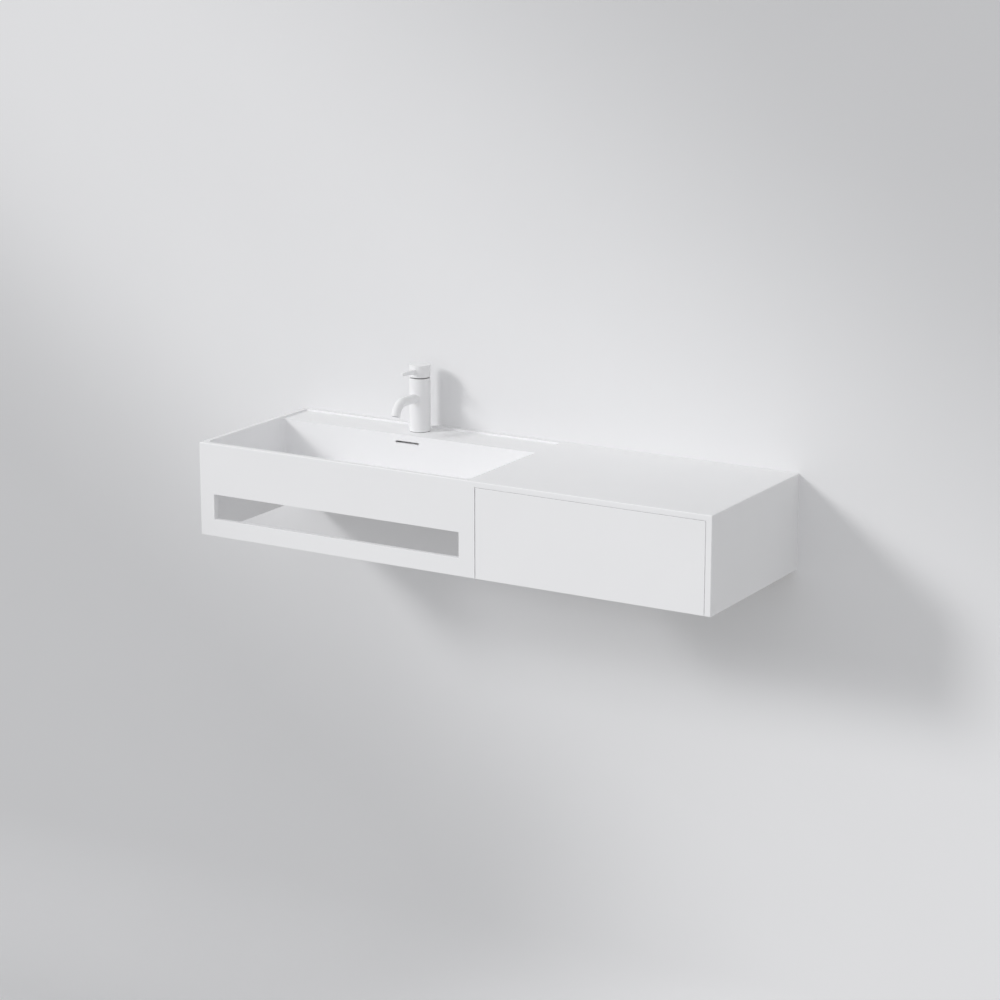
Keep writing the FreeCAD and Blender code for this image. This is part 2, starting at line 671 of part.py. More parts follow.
def make_front_screws():
    """Screws from inside the drawer box into the drawer front."""
    screws = []
    for number, (x, z) in enumerate(screw_places("0", "0"), 1):
        screw = new_body(f"front_screw_{number}", x, "front_back - screw_bite", z)
        shank = circle(new_sketch(screw, "XZ"), "0", "0", "screw_radius")
        pad(screw, shank, "screw_bite + box_board", back=True)
        head = circle(new_sketch(screw, "XZ", "-screw_bite - box_board"), "0", "0", "screw_head_radius")
        pad(screw, head, "screw_head_height", back=True)
        soften(screw, "Fillet", "screw_head_height / 2",
               {"y": "screw_bite + box_board + screw_head_height"})
        screws.append(screw)
    return group("front_screws", screws)


def make_drawer():
    """Drawer front, box and screws."""
    inner_width = "box_width - 2 * box_board"
    inner_left = "box_left + box_board"
    box_back = "front_back + box_depth - box_board"
    return [
        make_drawer_front(),
        make_box_front(),
        make_box_side("left", "box_left", False),
        make_box_side("right", "box_left + box_width", True),
        box("drawer_back", inner_left, box_back, "box_bottom + base_top",
            inner_width, "box_board", "box_height - base_top"),
        box("drawer_base", "box_left + box_board - groove_depth", "front_back + box_board - groove_depth",
            "box_bottom + base_lift", f"{inner_width} + 2 * groove_depth",
            "box_depth - box_board + groove_depth", "base_board"),
        make_front_screws(),
    ]


def make_waste_body():
    """Flanged waste tube with overflow ports in its side and a groove above its free thread."""
    body = new_body("waste_body", "drain_x", "drain_y", "drain_z")
    neck = "waste_radius - relief_depth"
    revolve(body, [
        ("waste_bore", "-waste_length"), ("waste_radius", "-waste_length"),
        ("waste_radius", "-relief_foot"), (neck, "-relief_foot"),
        (neck, "-relief_foot + relief_width"), ("waste_radius", "-relief_foot + relief_width"),
        ("waste_radius", "-flange_thickness"), ("flange_radius", "-flange_thickness"),
        ("flange_radius", "0"), ("waste_bore", "0"),
    ])
    port = "waste_port / 2"
    middle = "-floor_thickness - duct_height / 2"
    hole = rectangle(new_sketch(body, "XZ"), f"-{port}", port, f"{middle} - {port}", f"{middle} + {port}")
    pocket(body, hole, "2 * flange_radius", both=True)
    hole = rectangle(new_sketch(body, "YZ"), f"-{port}", port, f"{middle} - {port}", f"{middle} + {port}")
    pocket(body, hole, "2 * flange_radius", both=True)
    return body


def ring(label, x, y, z, inner, outer, height):
    """A flat ring that starts at z and rises by its height."""
    body = new_body(label, x, y, z)
    revolve(body, [(inner, "0"), (outer, "0"), (outer, height), (inner, height)])
    return body


def make_waste_nut():
    """Hexagonal nut that draws the waste down on the bowl floor."""
    body = new_body("waste_nut", "drain_x", "drain_y", "drain_z - nut_top - nut_height")
    outline = hexagon(new_sketch(body, "XY"), "0", "0", "nut_flats")
    circle(outline, "0", "0", "waste_radius + fit_play")
    pad(body, outline, "nut_height")
    return body


def make_overflow_duct():
    """Tray bonded behind and under the bowl that leads the overflow to the waste."""
    body = new_body("overflow_duct", "drain_x", "drain_y", "bottom + slot_top")
    behind = "block_back - drain_depth"
    rise = "block_height - deck_drop"
    collar = "duct_collar_radius"
    pad(body, rectangle(new_sketch(body, "XY"), "-duct_half", "duct_half", behind,
                        f"{behind} + duct_depth"), rise)
    pad(body, rectangle(new_sketch(body, "XY"), "-duct_half", "duct_half", "0",
                        f"{behind} + duct_depth"), "duct_height", back=True)
    pad(body, circle(new_sketch(body, "XY"), "0", "0", collar), "duct_height", back=True)
    hollow = "duct_half - duct_wall"
    pocket(body, rectangle(new_sketch(body, "XY", f"{rise} - duct_wall"), f"-({hollow})", hollow, behind,
                           f"{behind} + duct_depth - duct_wall"), f"{rise} - duct_wall")
    pocket(body, rectangle(new_sketch(body, "XY"), f"-({hollow})", hollow, "0",
                           f"{behind} + duct_depth - duct_wall"), "duct_height - duct_wall")
    pocket(body, circle(new_sketch(body, "XY"), "0", "0", f"{collar} - duct_wall"),
           "duct_height - duct_wall")
    pocket(body, circle(new_sketch(body, "XY"), "0", "0", "waste_radius + fit_play"), "2 * duct_height")
    return body


def make_plug_guide():
    """Ring, spokes and hub in the waste tube that carry the plug."""
    body = new_body("plug_guide", "drain_x", "drain_y", "drain_z - guide_drop - guide_height")
    outline = circle(new_sketch(body, "XY"), "0", "0", "waste_bore - fit_play")
    circle(outline, "0", "0", "waste_bore - fit_play - guide_ring")
    pad(body, outline, "guide_height")
    spoke = rectangle(new_sketch(body, "XY"), "-guide_spoke / 2", "guide_spoke / 2", "0",
                      "waste_bore - guide_ring")
    around(body, pad(body, spoke, "guide_height"), GUIDE_SPOKES)
    pad(body, circle(new_sketch(body, "XY"), "0", "0", "guide_hub_radius"), "guide_height")
    pocket(body, circle(new_sketch(body, "XY"), "0", "0", "plug_stem_radius + fit_play"),
           "guide_height", back=True)
    return body


def make_plug():
    """Press-to-close plug: low domed cap on a stem with a stop below the guide."""
    body = new_body("waste_plug", "drain_x", "drain_y", "drain_z + plug_lift")
    guide_foot = "plug_lift + guide_drop + guide_height"
    stop = f"{guide_foot} + stop_play"
    revolve(body, [
        ("0", f"-({stop}) - 2 * stem_collar_height"),
        ("plug_stem_radius", f"-({stop}) - 2 * stem_collar_height"),
        ("plug_stem_radius", f"-({stop}) - stem_collar_height"),
        ("stem_collar_radius", f"-({stop}) - stem_collar_height"), ("stem_collar_radius", f"-({stop})"),
        ("plug_stem_radius", f"-({stop})"), ("plug_stem_radius", "0"), ("plug_radius", "0"),
        ("plug_radius", "plug_thickness / 2"), ("0", "plug_thickness"),
    ])
    soften(body, "Fillet", "plug_thickness / 4", {"z": "plug_thickness / 2"})
    return body


def make_waste():
    """Waste, overflow duct and plug."""
    x, y, z = "drain_x", "drain_y", "drain_z"
    return [
        make_waste_body(),
        ring("flange_seal", x, y, f"{z} - flange_seat", "drain_hole_radius", "flange_radius",
             "flange_seal"),
        make_overflow_duct(),
        ring("nut_seal", x, y, f"{z} - nut_top", "waste_radius + fit_play", "duct_collar_radius",
             "nut_seal"),
        make_waste_nut(),
        make_plug_guide(),
        make_plug(),
        ring("plug_seal", x, y, f"{z} + plug_lift - plug_seal", "plug_seal_radius - plug_seal_width",
             "plug_seal_radius", "plug_seal"),
    ]


def make_tap_column():
    """Tap column: bored for the cartridge, the spout, two inlets and the fixing stud."""
    body = new_body("tap_column", "tap_x", "tap_y", "deck_z")
    pad(body, circle(new_sketch(body, "XY", "tap_gasket"), "0", "0", "tap_radius"),
        "column_height - tap_gasket")
    soften(body, "Chamfer", "column_chamfer", {"z": "column_height"})
    pocket(body, circle(new_sketch(body, "XY", "column_height"), "0", "0", "cartridge_radius + fit_play"),
           "cartridge_depth")
    inlets = new_sketch(body, "XY", "tap_gasket")
    for side in ("-", ""):
        circle(inlets, f"{side}inlet_spacing / 2", "inlet_radius", "inlet_radius")
    pocket(body, inlets, "column_height - tap_gasket - cartridge_depth", back=True)
    stud_hole = circle(new_sketch(body, "XY", "tap_gasket"), "0", "-fixing_offset",
                       "fixing_radius + fit_play")
    pocket(body, stud_hole, "fixing_bite", back=True)
    spout_port = circle(new_sketch(body, "XZ", "inlet_radius / 2"), "0", "spout_height",
                        "spout_radius - spout_wall")
    pocket(body, spout_port, "tap_radius", back=True)
    outlet = circle(new_sketch(body, "XY", "spout_height"), "0", "-inlet_spacing / 2", "inlet_radius")
    pocket(body, outlet, "column_height - cartridge_depth - spout_height", back=True)
    return body


def make_spout():
    """Bent spout tube, saddled to the column, with a straight end for the aerator."""
    body = new_body("tap_spout", "tap_x", "tap_y", "deck_z + spout_height")
    path = new_sketch(body, "YZ")
    bend_start = V(-value("spout_reach"), 0, 0)
    centre = bend_start - V(0, value("spout_bend"), 0)
    bend_end = V(value(SPOUT_BEND_END[0]), value(SPOUT_BEND_END[1]), 0)
    tip = V(value(SPOUT_TIP[0]), value(SPOUT_TIP[1]), 0)
    turn = math.radians(value("spout_turn"))
    quarter = math.pi / 2
    bend = Part.ArcOfCircle(Part.Circle(centre, V(0, 0, 1), value("spout_bend")), quarter, quarter + turn)
    straight = Part.LineSegment(V(0, 0, 0), bend_start)
    path.addGeometry([straight, bend, Part.LineSegment(bend_end, tip)], False)
    path.addConstraint(Sketcher.Constraint("Coincident", 0, 2, 1, 1))
    path.addConstraint(Sketcher.Constraint("Coincident", 1, 2, 2, 1))
    pin_point(path, 0, 1, "0", "0")
    pin_point(path, 0, 2, "-spout_reach", "0")
    pin_point(path, 1, 3, "-spout_reach", "-spout_bend")
    pin_point(path, 2, 2, *SPOUT_TIP)
    pin_point(path, 2, 1, SPOUT_BEND_END[0], None)
    for kind, radius in (("AdditivePipe", "spout_radius"),
                         ("SubtractivePipe", "spout_radius - spout_wall")):
        pipe = body.newObject(f"PartDesign::{kind}", f"spout_{kind.lower()}")
        pipe.Profile = circle(new_sketch(body, "XZ"), "0", "0", radius)
        pipe.Spine = (path, ["Edge1", "Edge2", "Edge3"])
        doc.recompute()
    pocket(body, circle(new_sketch(body, "XY"), "0", "0", "tap_radius"), "4 * spout_radius", both=True)
    return body


def outlet_body(label):
    """A body at the spout's mouth whose Z axis points back up the tube."""
    body = doc.addObject("PartDesign::Body", label)
    body.Label = label
    lean = FreeCAD.Rotation(V(-1, 0, 0), value("90 - spout_turn"))
    body.Placement = FreeCAD.Placement(V(0, 0, 0), lean)
    bind(body, Placement__Rotation__Angle="90 - spout_turn")
    place(body, "tap_x", f"tap_y + {SPOUT_TIP[0]}", f"deck_z + spout_height + {SPOUT_TIP[1]}")
    return body


def make_aerator():
    """Aerator ring in the spout's mouth and its drilled insert."""
    outer = "(spout_radius - spout_wall - fit_play)"
    inner = f"({outer} - aerator_wall)"
    housing = outlet_body("aerator_ring")
    revolve(housing, [(inner, "0"), (outer, "0"), (outer, "aerator_length"), (inner, "aerator_length")])
    insert = outlet_body("aerator_insert")
    edge = f"({inner} - fit_play)"
    pad(insert, circle(new_sketch(insert, "XY", "aerator_wall"), "0", "0", edge),
        "aerator_length - 2 * aerator_wall")
    pocket(insert, circle(new_sketch(insert, "XY"), "0", "0", "aerator_hole"), "aerator_length", back=True)
    for share, count in AERATOR_ROWS:
        hole = circle(new_sketch(insert, "XY"), "0", f"{share} * {edge}", "aerator_hole")
        around(insert, pocket(insert, hole, "aerator_length", back=True), count)
    return [housing, insert]


def make_horseshoe(label, z, thickness):
    """Open-sided disc under the tap deck that leaves room for the two supplies."""
    body = new_body(label, "tap_x", "tap_y", z)
    outline = circle(new_sketch(body, "XY"), "0", "0", "clamp_radius")
    circle(outline, "0", "-fixing_offset", "fixing_radius + fit_play")
    pad(body, outline, thickness)
    slot_front = "-fixing_offset + 2 * fixing_radius"
    opening = rectangle(new_sketch(body, "XY"), "-clamp_slot", "clamp_slot", slot_front,
                        "2 * clamp_radius")
    pocket(body, opening, thickness, back=True)
    return body


def make_tap_fixings():
    """Gasket, stud, clamp and nut that hold the tap on its deck."""
    stud_top = "tap_gasket + fixing_bite - fit_play"
    stud_foot = "nut_z + fixing_nut_height + fixing_tail"
    stud = new_body("tap_stud", "tap_x", "tap_y - fixing_offset", f"deck_z - ({stud_foot})")
    pad(stud, circle(new_sketch(stud, "XY"), "0", "0", "fixing_radius"), f"{stud_foot} + {stud_top}")
    nut = new_body("tap_nut", "tap_x", "tap_y - fixing_offset", "deck_z - nut_z - fixing_nut_height")
    outline = hexagon(new_sketch(nut, "XY"), "0", "0", "fixing_nut_flats")
    circle(outline, "0", "0", "fixing_radius + fit_play")
    pad(nut, outline, "fixing_nut_height")
    return [
        ring("tap_base_gasket", "tap_x", "tap_y", "deck_z", "tap_hole_radius",
             "tap_radius - tap_gasket / 2", "tap_gasket"),
        stud,
        make_horseshoe("clamp_pad", "deck_z - deck_thickness - clamp_pad", "clamp_pad"),
        make_horseshoe("tap_clamp", "deck_z - nut_z", "clamp_plate"),
        nut,
    ]


def make_cartridge():
    """Mixing cartridge with its ports, and the slotted nut that holds it in the column."""
    cartridge = new_body("mixer_cartridge", "tap_x", "tap_y", "deck_z + column_height")
    bore = "spindle_radius + fit_play"
    revolve(cartridge, [
        ("0", "-cartridge_depth"), ("cartridge_radius", "-cartridge_depth"),
        ("cartridge_radius", "-cartridge_ring"), (bore, "-cartridge_ring"), (bore, "-spindle_floor"),
        ("0", "-spindle_floor"),
    ])
    ports = new_sketch(cartridge, "XY", "-cartridge_depth")
    for x, y in (("-inlet_spacing / 2", "inlet_radius"), ("inlet_spacing / 2", "inlet_radius"),
                 ("0", "-inlet_spacing / 2")):
        circle(ports, x, y, "cartridge_port")
    pocket(cartridge, ports, "(cartridge_depth - spindle_floor) / 2", back=True)
    nut = new_body("cartridge_nut", "tap_x", "tap_y", "deck_z + column_height")
    revolve(nut, [
        ("cartridge_mouth", "-cartridge_ring"), ("cartridge_radius", "-cartridge_ring"),
        ("cartridge_radius", "0"), ("cartridge_mouth", "0"),
    ])
    notch = rectangle(new_sketch(nut, "XY"), "-spanner_notch / 2", "spanner_notch / 2",
                      "(cartridge_mouth + cartridge_radius) / 2", "2 * cartridge_radius")
    around(nut, pocket(nut, notch, "cartridge_ring / 2"), SPANNER_NOTCHES)
    return [cartridge, nut]


def make_spindle():
    """Forked spindle that turns in the cartridge and carries the lever's pivot pin."""
    fork = new_body("cartridge_spindle", "tap_x", "tap_y", "deck_z + column_height")
    pad(fork, circle(new_sketch(fork, "XY", "-spindle_floor + fit_play"), "0", "0", "spindle_radius"),
        "spindle_floor - spindle_top - fit_play")
    cheek = "knuckle_width / 2 + 2 * fit_play"
    pocket(fork, rectangle(new_sketch(fork, "XY", "-spindle_top"), f"-({cheek})", cheek,
                           "-2 * spindle_radius", "2 * spindle_radius"),
           "pivot_drop + knuckle_radius + stop_play - spindle_top")
    pocket(fork, circle(new_sketch(fork, "YZ"), "0", "-pivot_drop", "pivot_pin_radius + fit_play / 2"),
           "4 * spindle_radius", both=True)
    pin = new_body("lever_pivot_pin", "tap_x", "tap_y", "deck_z + pivot_z")
    pad(pin, circle(new_sketch(pin, "YZ"), "0", "0", "pivot_pin_radius"),
        "2 * spindle_radius - pivot_pin_radius", both=True)
    return [fork, pin]


def make_lever():
    """Lever stem, hollow cap, bar and the grub screw that joins them."""
    stem = new_body("lever_stem", "tap_x", "tap_y", "deck_z + pivot_z")
    pad(stem, circle(new_sketch(stem, "YZ"), "0", "0", "knuckle_radius"), "knuckle_width", both=True)
    pad(stem, circle(new_sketch(stem, "XY"), "0", "0", "stem_radius"), "cap_z + stem_top - pivot_z")
    pocket(stem, circle(new_sketch(stem, "YZ"), "0", "0", "pivot_pin_radius + fit_play"),
           "4 * stem_radius", both=True)
    grub = new_body("lever_grub_screw", "tap_x", "tap_y", "deck_z + cap_z")
    pad(grub, circle(new_sketch(grub, "XZ", "-stem_radius - fit_play"), "0", "bar_height", "grub_radius"),
        "cap_boss_radius - stem_radius", back=True)
    return [stem, make_lever_cap(), make_lever_bar(), grub]


def make_lever_cap():
    """Thin-walled cap over the cartridge, with a boss for the stem."""
    body = new_body("lever_cap", "tap_x", "tap_y", "deck_z + cap_z")
    roof = "cap_height - cap_roof"
    socket = "stem_radius + fit_play"
    inside = "tap_radius - cap_wall"
    revolve(body, [
        ("0", "cap_height"), ("0", roof), (socket, roof), (socket, "cap_boss_clearance"),
        ("cap_boss_radius", "cap_boss_clearance"), ("cap_boss_radius", roof), (inside, roof),
        (inside, "0"), ("tap_radius", "0"), ("tap_radius", "cap_height"),
    ])
    pocket(body, circle(new_sketch(body, "XZ"), "0", "bar_height", "grub_radius + fit_play"),
           "2 * tap_radius")
    soften(body, "Fillet", "soft_edge", {"z": "cap_height"})
    return body


def make_lever_bar():
    """Tapered bar that rises a little to its tip, saddled to the cap."""
    body = new_body("lever_bar", "tap_x", "tap_y", "deck_z + cap_z + bar_height")
    slope = "bar_rise / (bar_reach - tap_radius)"
    sections = []
    for reach, width, height in (("tap_radius / 2", "bar_root_width", "bar_root_height"),
                                 ("bar_reach", "bar_tip_width", "bar_tip_height")):
        middle = f"({reach} - tap_radius) * {slope}"
        section = rectangle(new_sketch(body, "XZ", reach), f"-{width} / 2", f"{width} / 2",
                            f"{middle} - {height} / 2", f"{middle} + {height} / 2")
        sections.append(section)
    taper = body.newObject("PartDesign::AdditiveLoft", "lever_bar_taper")
    taper.Profile = sections[0]
    taper.Sections = [sections[1]]
    taper.Ruled = True
    doc.recompute()
    tip = -value("bar_reach")
    names = [f"Edge{number}" for number, edge in enumerate(taper.Shape.Edges, 1)
             if abs(edge.BoundBox.YMin - tip) < TOLERANCE]
    rounded = body.newObject("PartDesign::Fillet", "lever_bar_edges")
    rounded.Base = (taper, names)
    bind(rounded, Radius="soft_edge")
    pocket(body, circle(new_sketch(body, "XY"), "0", "0", "tap_radius"), "4 * tap_radius", both=True)
    return body


# Wall bolts from left to right, ends of the spout's curve, and repeats of small features
BOLTS = ["-bolt_outer_spacing / 2", "-bolt_inner_spacing / 2",
         "bolt_inner_spacing / 2", "bolt_outer_spacing / 2"]
SPOUT_BEND_END = ("-spout_reach - spout_bend * sin(spout_turn)",
                  "-spout_bend * (1 - cos(spout_turn))")
SPOUT_TIP = (f"{SPOUT_BEND_END[0]} - aerator_length * cos(spout_turn)",
             f"{SPOUT_BEND_END[1]} - aerator_length * sin(spout_turn)")
GUIDE_SPOKES = 3
SPANNER_NOTCHES = 4
# Rows of aerator holes: share of the insert's radius, holes in the row
AERATOR_ROWS = ((0.4, 6), (0.75, 10))

parts = [
    make_basin_top(),
    make_towel_frame(),
    make_left_panel(),
    make_right_panel(),
    box("divider_panel", "left + divider_left", "front + front_wall", "bottom",
        "divider", "unit_depth - front_wall", "bay_height"),
    make_back_rail("back_rail_left", "left + left_panel", "divider_left - left_panel", "deck_drop",
                   BOLTS[:2]),
    make_back_rail("back_rail_right", "bay_left", "bay_width", "counter_thickness", BOLTS[2:]),
    box("lower_back_rail", "bay_left", "-lower_rail_thickness", "bottom",
        "bay_width", "lower_rail_thickness", "lower_rail_height"),
    make_bolt_plates(),
    *make_runner("left", "bay_left", False),
    *make_runner("right", "bay_right", True),
    *make_drawer(),
    *make_waste(),
    make_tap_column(),
    make_spout(),
    *make_aerator(),
    *make_tap_fixings(),
    *make_cartridge(),
    *make_spindle(),
    *make_lever(),
]
doc.recompute()

faults = [item.Label for item in doc.Objects if {"Invalid", "Error"} & set(item.State)]
faults += [item.Label for item in parts if item.Shape.isNull() or not item.Shape.isValid()]
if faults:
    raise SystemExit(f"these did not build: {sorted(set(faults))}")
os.makedirs("parts", exist_ok=True)
for item in parts:
    item.Shape.exportStep(os.path.join("parts", f"{item.Label}.step"))
print(f"{len(parts)} sub-parts, {sum(len(item.Shape.Solids) for item in parts)} solids")
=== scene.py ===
# %% [markdown]
# # A wall-hung vanity unit in white
# The unit is one long moulded block on a wall: a bowl with a tap on the left, a towel slot below it,
# a drawer on the right. The CAD model already holds every solid at its real size, so this lesson only
# dresses it. First the imported model is loaded as a fixed frame, and its box is kept.

# %% Load the frame
import json
import math

import bmesh
import bpy
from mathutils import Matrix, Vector


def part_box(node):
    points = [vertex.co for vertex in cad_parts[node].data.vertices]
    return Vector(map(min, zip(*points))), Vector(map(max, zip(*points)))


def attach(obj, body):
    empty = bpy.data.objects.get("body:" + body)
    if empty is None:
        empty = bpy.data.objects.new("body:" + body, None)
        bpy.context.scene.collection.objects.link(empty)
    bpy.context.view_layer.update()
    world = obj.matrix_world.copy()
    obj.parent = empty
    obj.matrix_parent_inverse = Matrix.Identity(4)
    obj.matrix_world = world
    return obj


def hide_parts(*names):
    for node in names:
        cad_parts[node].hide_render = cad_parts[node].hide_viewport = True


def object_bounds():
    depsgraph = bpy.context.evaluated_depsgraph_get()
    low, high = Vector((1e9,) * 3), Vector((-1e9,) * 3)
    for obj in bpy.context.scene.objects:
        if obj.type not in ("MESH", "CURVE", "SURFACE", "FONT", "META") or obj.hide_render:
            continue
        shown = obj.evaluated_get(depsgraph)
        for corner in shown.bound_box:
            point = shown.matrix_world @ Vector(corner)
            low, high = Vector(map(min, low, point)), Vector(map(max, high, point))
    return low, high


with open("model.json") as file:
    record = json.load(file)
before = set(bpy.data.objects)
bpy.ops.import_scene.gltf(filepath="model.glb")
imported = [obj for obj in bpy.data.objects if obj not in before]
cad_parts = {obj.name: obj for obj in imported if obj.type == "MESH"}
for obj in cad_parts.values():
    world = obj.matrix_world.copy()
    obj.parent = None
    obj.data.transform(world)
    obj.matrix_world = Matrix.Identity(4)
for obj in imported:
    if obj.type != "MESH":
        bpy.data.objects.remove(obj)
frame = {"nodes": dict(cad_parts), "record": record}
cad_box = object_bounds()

MM = 0.001
scene = bpy.context.scene
scene.view_settings.view_transform = "Standard"

# %% [markdown]
# ## Camera
# The photograph was taken from far away with a long lens, from the right and a little above. A camera
# fitted to the unit's straight edges gives the place, the turn and the lens directly, so the render and
# the photograph can be laid over each other.

# %% Camera
CAMERA_PLACE = (2.9335, -5.1241, 1.4293)
CAMERA_YAW = 30.608
CAMERA_PITCH = -14.371
LENS = 101.84

camera = bpy.data.objects.new("camera", bpy.data.cameras.new("camera"))
scene.collection.objects.link(camera)
camera.location = CAMERA_PLACE
camera.rotation_euler = (math.radians(90 + CAMERA_PITCH), 0, math.radians(CAMERA_YAW))
camera.data.lens = LENS
scene.camera = camera
print("camera:", camera.location[:], "lens", LENS)

# %% [markdown]
# ## Node helpers
# Materials are node trees. Writing one node per line hides the idea, so a `Shade` wraps a socket and
# lets Python's own operators add the Math nodes: `1 - mask` or `0.4 + 0.1 * grain` reads like a formula.
# Every other node comes from one method that takes its type, its settings and its sockets.

# %% Node helpers
def find(sockets, name):
    """A socket by its identifier or, failing that, by its name."""
    for key in ("identifier", "name"):
        for socket in sockets:
            if getattr(socket, key) == name:
                return socket
    raise KeyError(name)


def plug(tree, socket, value):
    """Link a shade or a socket to an input, or set the input's own value."""
    source = getattr(value, "socket", value)
    if isinstance(source, bpy.types.NodeSocket):
        tree.links.new(source, socket)
    else:
        socket.default_value = value


def add_node(tree, kind, settings, sockets):
    """One node of a tree: settings first, then socket values or links."""
    node = tree.nodes.new(kind)
    for name, value in settings.items():
        setattr(node, name, value)
    for name, value in sockets.items():
        plug(tree, find(node.inputs, name), value)
    return node


class Shade:
    """A number on its way through a material, with arithmetic."""

    def __init__(self, tree, socket):
        self.tree, self.socket = tree, socket

    def maths(self, operation, first, second):
        node = add_node(self.tree, "ShaderNodeMath", {"operation": operation}, {})
        plug(self.tree, node.inputs[0], first)
        plug(self.tree, node.inputs[1], second)
        return Shade(self.tree, node.outputs[0])

    def __add__(self, other):
        return self.maths("ADD", self, other)

    def __radd__(self, other):
        return self.maths("ADD", other, self)

    def __sub__(self, other):
        return self.maths("SUBTRACT", self, other)

    def __rsub__(self, other):
        return self.maths("SUBTRACT", other, self)

    def __mul__(self, other):
        return self.maths("MULTIPLY", self, other)

    def __rmul__(self, other):
        return self.maths("MULTIPLY", other, self)

    def __truediv__(self, other):
        return self.maths("DIVIDE", self, other)

    def __rtruediv__(self, other):
        return self.maths("DIVIDE", other, self)

    def __gt__(self, other):
        return self.maths("GREATER_THAN", self, other)

    def __lt__(self, other):
        return self.maths("LESS_THAN", self, other)

    def larger(self, other):
        return self.maths("MAXIMUM", self, other)

    def wrapped(self, period):
        return self.maths("PINGPONG", self, period)


def shaded(tree, kind, settings, sockets, output):
    """A new node's output, by its place or its name, as a shade."""
    made = add_node(tree, kind, settings or {}, sockets or {})
    found = made.outputs[output] if isinstance(output, int) else find(made.outputs, output)
    return Shade(tree, found)


class Finish:
    """A material under construction."""

    def __init__(self, name):
        self.material = bpy.data.materials.new(name)
        self.material.use_nodes = True
        self.tree = self.material.node_tree
        self.tree.nodes.clear()

    def node(self, kind, settings=None, sockets=None, output=0):
        return shaded(self.tree, f"ShaderNode{kind}", settings, sockets, output)

    def place(self):
        return self.node("TexCoord", output="Object")

    def axes(self):
        split = add_node(self.tree, "ShaderNodeSeparateXYZ", {}, {"Vector": self.place()})
        return [Shade(self.tree, end) for end in split.outputs]

    def facing(self):
        """How squarely the surface looks along X, Y and Z."""
        normal = self.node("NewGeometry", output="Normal")
        size = self.node("VectorMath", {"operation": "ABSOLUTE"}, {"Vector": normal})
        split = add_node(self.tree, "ShaderNodeSeparateXYZ", {}, {"Vector": size})
        return [Shade(self.tree, end) for end in split.outputs]

    def noise(self, scale, detail=2.0, stretch=(1, 1, 1)):
        where = self.node("Mapping", {}, {"Vector": self.place(), "Scale": stretch})
        return self.node("TexNoise", {}, {"Vector": where, "Scale": scale, "Detail": detail}, "Fac")

    def blend(self, amount, first, second):
        sockets = {"Factor_Float": amount, "A_Color": colour(first), "B_Color": colour(second)}
        return self.node("Mix", {"data_type": "RGBA"}, sockets, "Result_Color")

    def relief(self, height, depth):
        return self.node("Bump", {}, {"Height": height, "Distance": depth})

    def surface(self, **sockets):
        named = {name.replace("_", " "): value for name, value in sockets.items()}
        shader = self.node("BsdfPrincipled", {}, named)
        return self.ended(shader)

    def mixed(self, amount, first, second):
        both = add_node(self.tree, "ShaderNodeMixShader", {}, {"Fac": amount})
        plug(self.tree, both.inputs[1], first)
        plug(self.tree, both.inputs[2], second)
        return Shade(self.tree, both.outputs[0])

    def ended(self, shader):
        add_node(self.tree, "ShaderNodeOutputMaterial", {}, {"Surface": shader})
        return self.material


def colour(value):
    """A colour as four numbers, or a shade as it is."""
    return value if isinstance(value, Shade) else (*value, 1.0)


print("helpers: Shade, Finish")

# %% [markdown]
# ## Stage
# The unit hangs on a plain pale wall that runs down into a plain pale floor. One sheet with a wide
# curve at its foot shows no line between them. A real wall would keep all light from the unit's back,
# and would hide it from a camera behind, so the sheet is seen by the camera from its front only: its
# back, and the part right behind the unit, is clear to all other light. Far away it fades into the pale
# surround, so that no edge or horizon shows from any side.

# %% Stage
WALL_GAP = 0.8 * MM
FLOOR_DROP = 1.38
COVE = 0.3
COVE_STEPS = 12
STAGE_HALF = 9.0
STAGE_TOP = 5.0
BOUNCE = 0.75
PALE = (0.985, 0.99, 1.0)
PALE_LEVEL = 0.74
HAZE = (3.0, 7.0)
WALL_TONES = ((0.855, 0.855, 0.865), (0.875, 0.875, 0.885))


def make_stage():
    """Wall, curve and floor in one sheet whose faces look into the room."""
    foot = WALL_GAP - COVE
    arc = [math.radians(90 * step / COVE_STEPS) for step in range(COVE_STEPS + 1)]
    outline = [(WALL_GAP, STAGE_TOP)]
    outline += [(foot + COVE * math.cos(a), COVE - FLOOR_DROP - COVE * math.sin(a)) for a in arc]
    outline.append((-STAGE_HALF, -FLOOR_DROP))
    shape = bmesh.new()
    rows = [[shape.verts.new((x, y, z)) for y, z in outline] for x in (-STAGE_HALF, STAGE_HALF)]
    for index in range(len(outline) - 1):
        left, right = rows
        shape.faces.new((left[index], left[index + 1], right[index + 1], right[index]))
    mesh = bpy.data.meshes.new("studio_wall")
    shape.to_mesh(mesh)
    shape.free()
    mesh.shade_smooth()
    sheet = bpy.data.objects.new("studio_wall", mesh)
    scene.collection.objects.link(sheet)
    return sheet


